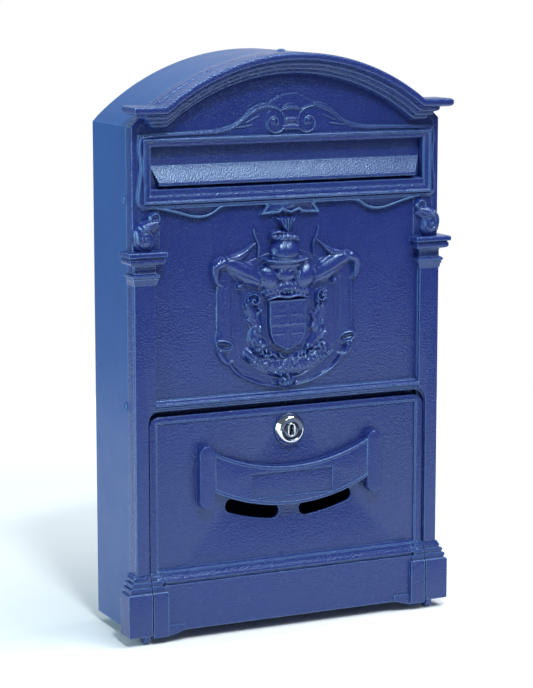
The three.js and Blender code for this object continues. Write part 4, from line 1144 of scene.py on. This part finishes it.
# ------------------------------------------------------------------ stage, light and camera
FLOOR_Z = CAD_BOUNDS[0][2] - 0.0005
FLOOR_RADIUS = 0.85
PHOTO_SIDE = (0.424, 0.888, -0.163)  # the way the camera looks
TARGET = Vector((-3.96 * MM, -43.1 * MM, FOOT + 195.9 * MM))
AZIMUTH = math.radians(-25.48)
ELEVATION = math.radians(9.39)
DISTANCE = 1.6827
LENS = 121.6


def stage():
    """A pale round floor that glows more towards its rim: painted light that fades it out to the backdrop's
    white.
    """
    points = [(x, y, 0) for x, y in arc(0, 0, FLOOR_RADIUS, 0, 355, 72)]
    mesh = bpy.data.meshes.new("floor")
    mesh.from_pydata(points, [], [tuple(range(len(points)))])
    piece = bpy.data.objects.new("floor", mesh)
    piece.location.z = FLOOR_Z
    bpy.context.scene.collection.objects.link(piece)
    material, tree, shader = new_material("pale_floor")
    reach = tree.add("VectorMath", {0: tree.coords["Object"]}, operation="LENGTH")["Value"]
    greys = [(0.3, (0.90, 0.86, 0.85, 1)), (0.7, (0.92, 0.88, 0.87, 1))]
    tree.feed(shader, {
        "Base Color": tree.ramp(tree.noise(3, 2), greys),
        "Roughness": 0.9,
        # painted light: the floor glows more the further out it lies
        "Emission Strength": tree.spread(reach, 0.45, FLOOR_RADIUS - 0.02, high=0.3),
        "Emission Color": WHITE,
    })
    mesh.materials.append(material)


def area_light(name, location, size, watts, colour):
    """A rectangular light aimed at the middle of the box; place and size in metres."""
    light = bpy.data.lights.new(name, "AREA")
    light.shape = "RECTANGLE"
    light.size, light.size_y = size
    light.energy = watts
    light.color = colour
    lamp = bpy.data.objects.new(name, light)
    lamp.location = location
    lamp.rotation_euler = (TARGET - Vector(location)).to_track_quat("-Z", "Y").to_euler()
    bpy.context.scene.collection.objects.link(lamp)


def lights():
    """Soft lamps, and a studio that is darker in reflections than the white it shows the camera."""
    pale = (0.82, 0.95, 1.0)
    area_light("key_above", (0.3, -1.2, 1.45), (1.5, 1.0), 17.6, pale)
    area_light("glint", (-0.22, -1.0, 1.35), (0.2, 0.14), 14, pale)
    area_light("left_softbox", (-1.7, -0.08, 0.15), (1.3, 1.3), 28, (0.58, 0.93, 1.0))
    area_light("overhead_right", (0.66, -0.28, 1.62), (1.0, 0.8), 21, (0.95, 0.98, 1.0))
    area_light("back_fill", (0, 1.1, 1.45), (1.2, 0.8), 6, pale)
    world = bpy.data.worlds.new("studio")
    world.use_nodes = True
    tree = Tree(world.node_tree)
    facing = {0: tree.coords["Generated"], 1: PHOTO_SIDE}
    facing = tree.add("VectorMath", facing, operation="DOT_PRODUCT")["Value"]
    shades = [(0, (0.13, 0.15, 0.18, 1)), (0.55, (0.17, 0.22, 0.28, 1)), (0.66, (0.21, 0.44, 0.58, 1)),
              (0.8, (0.2, 0.37, 0.5, 1)), (0.95, WHITE)]
    seen = tree.add("LightPath")["Is Camera Ray"]
    shown = tree.mix(seen, tree.ramp(facing, shades), WHITE)
    tree.feed(world.node_tree.nodes["Background"], {"Color": shown})
    bpy.context.scene.world = world


def camera():
    """The photo's viewpoint."""
    across = math.cos(ELEVATION)
    offset = Vector((math.sin(AZIMUTH) * across, -math.cos(AZIMUTH) * across, math.sin(ELEVATION)))
    data = bpy.data.cameras.new("photo_camera")
    data.lens = LENS
    data.sensor_width = 36
    data.sensor_fit = "AUTO"
    data.clip_start = 0.01
    eye = bpy.data.objects.new("photo_camera", data)
    eye.location = TARGET + offset * DISTANCE
    eye.rotation_euler = (-offset).to_track_quat("-Z", "Y").to_euler()
    bpy.context.scene.collection.objects.link(eye)
    bpy.context.scene.camera = eye


bpy.context.scene.view_settings.view_transform = "Standard"
camera()
stage()
lights()
sheet_wrap()
rivets()
hardware()
cast_front()
crest()
slot_crown()
brackets()
letter_flap()
door()
lock()
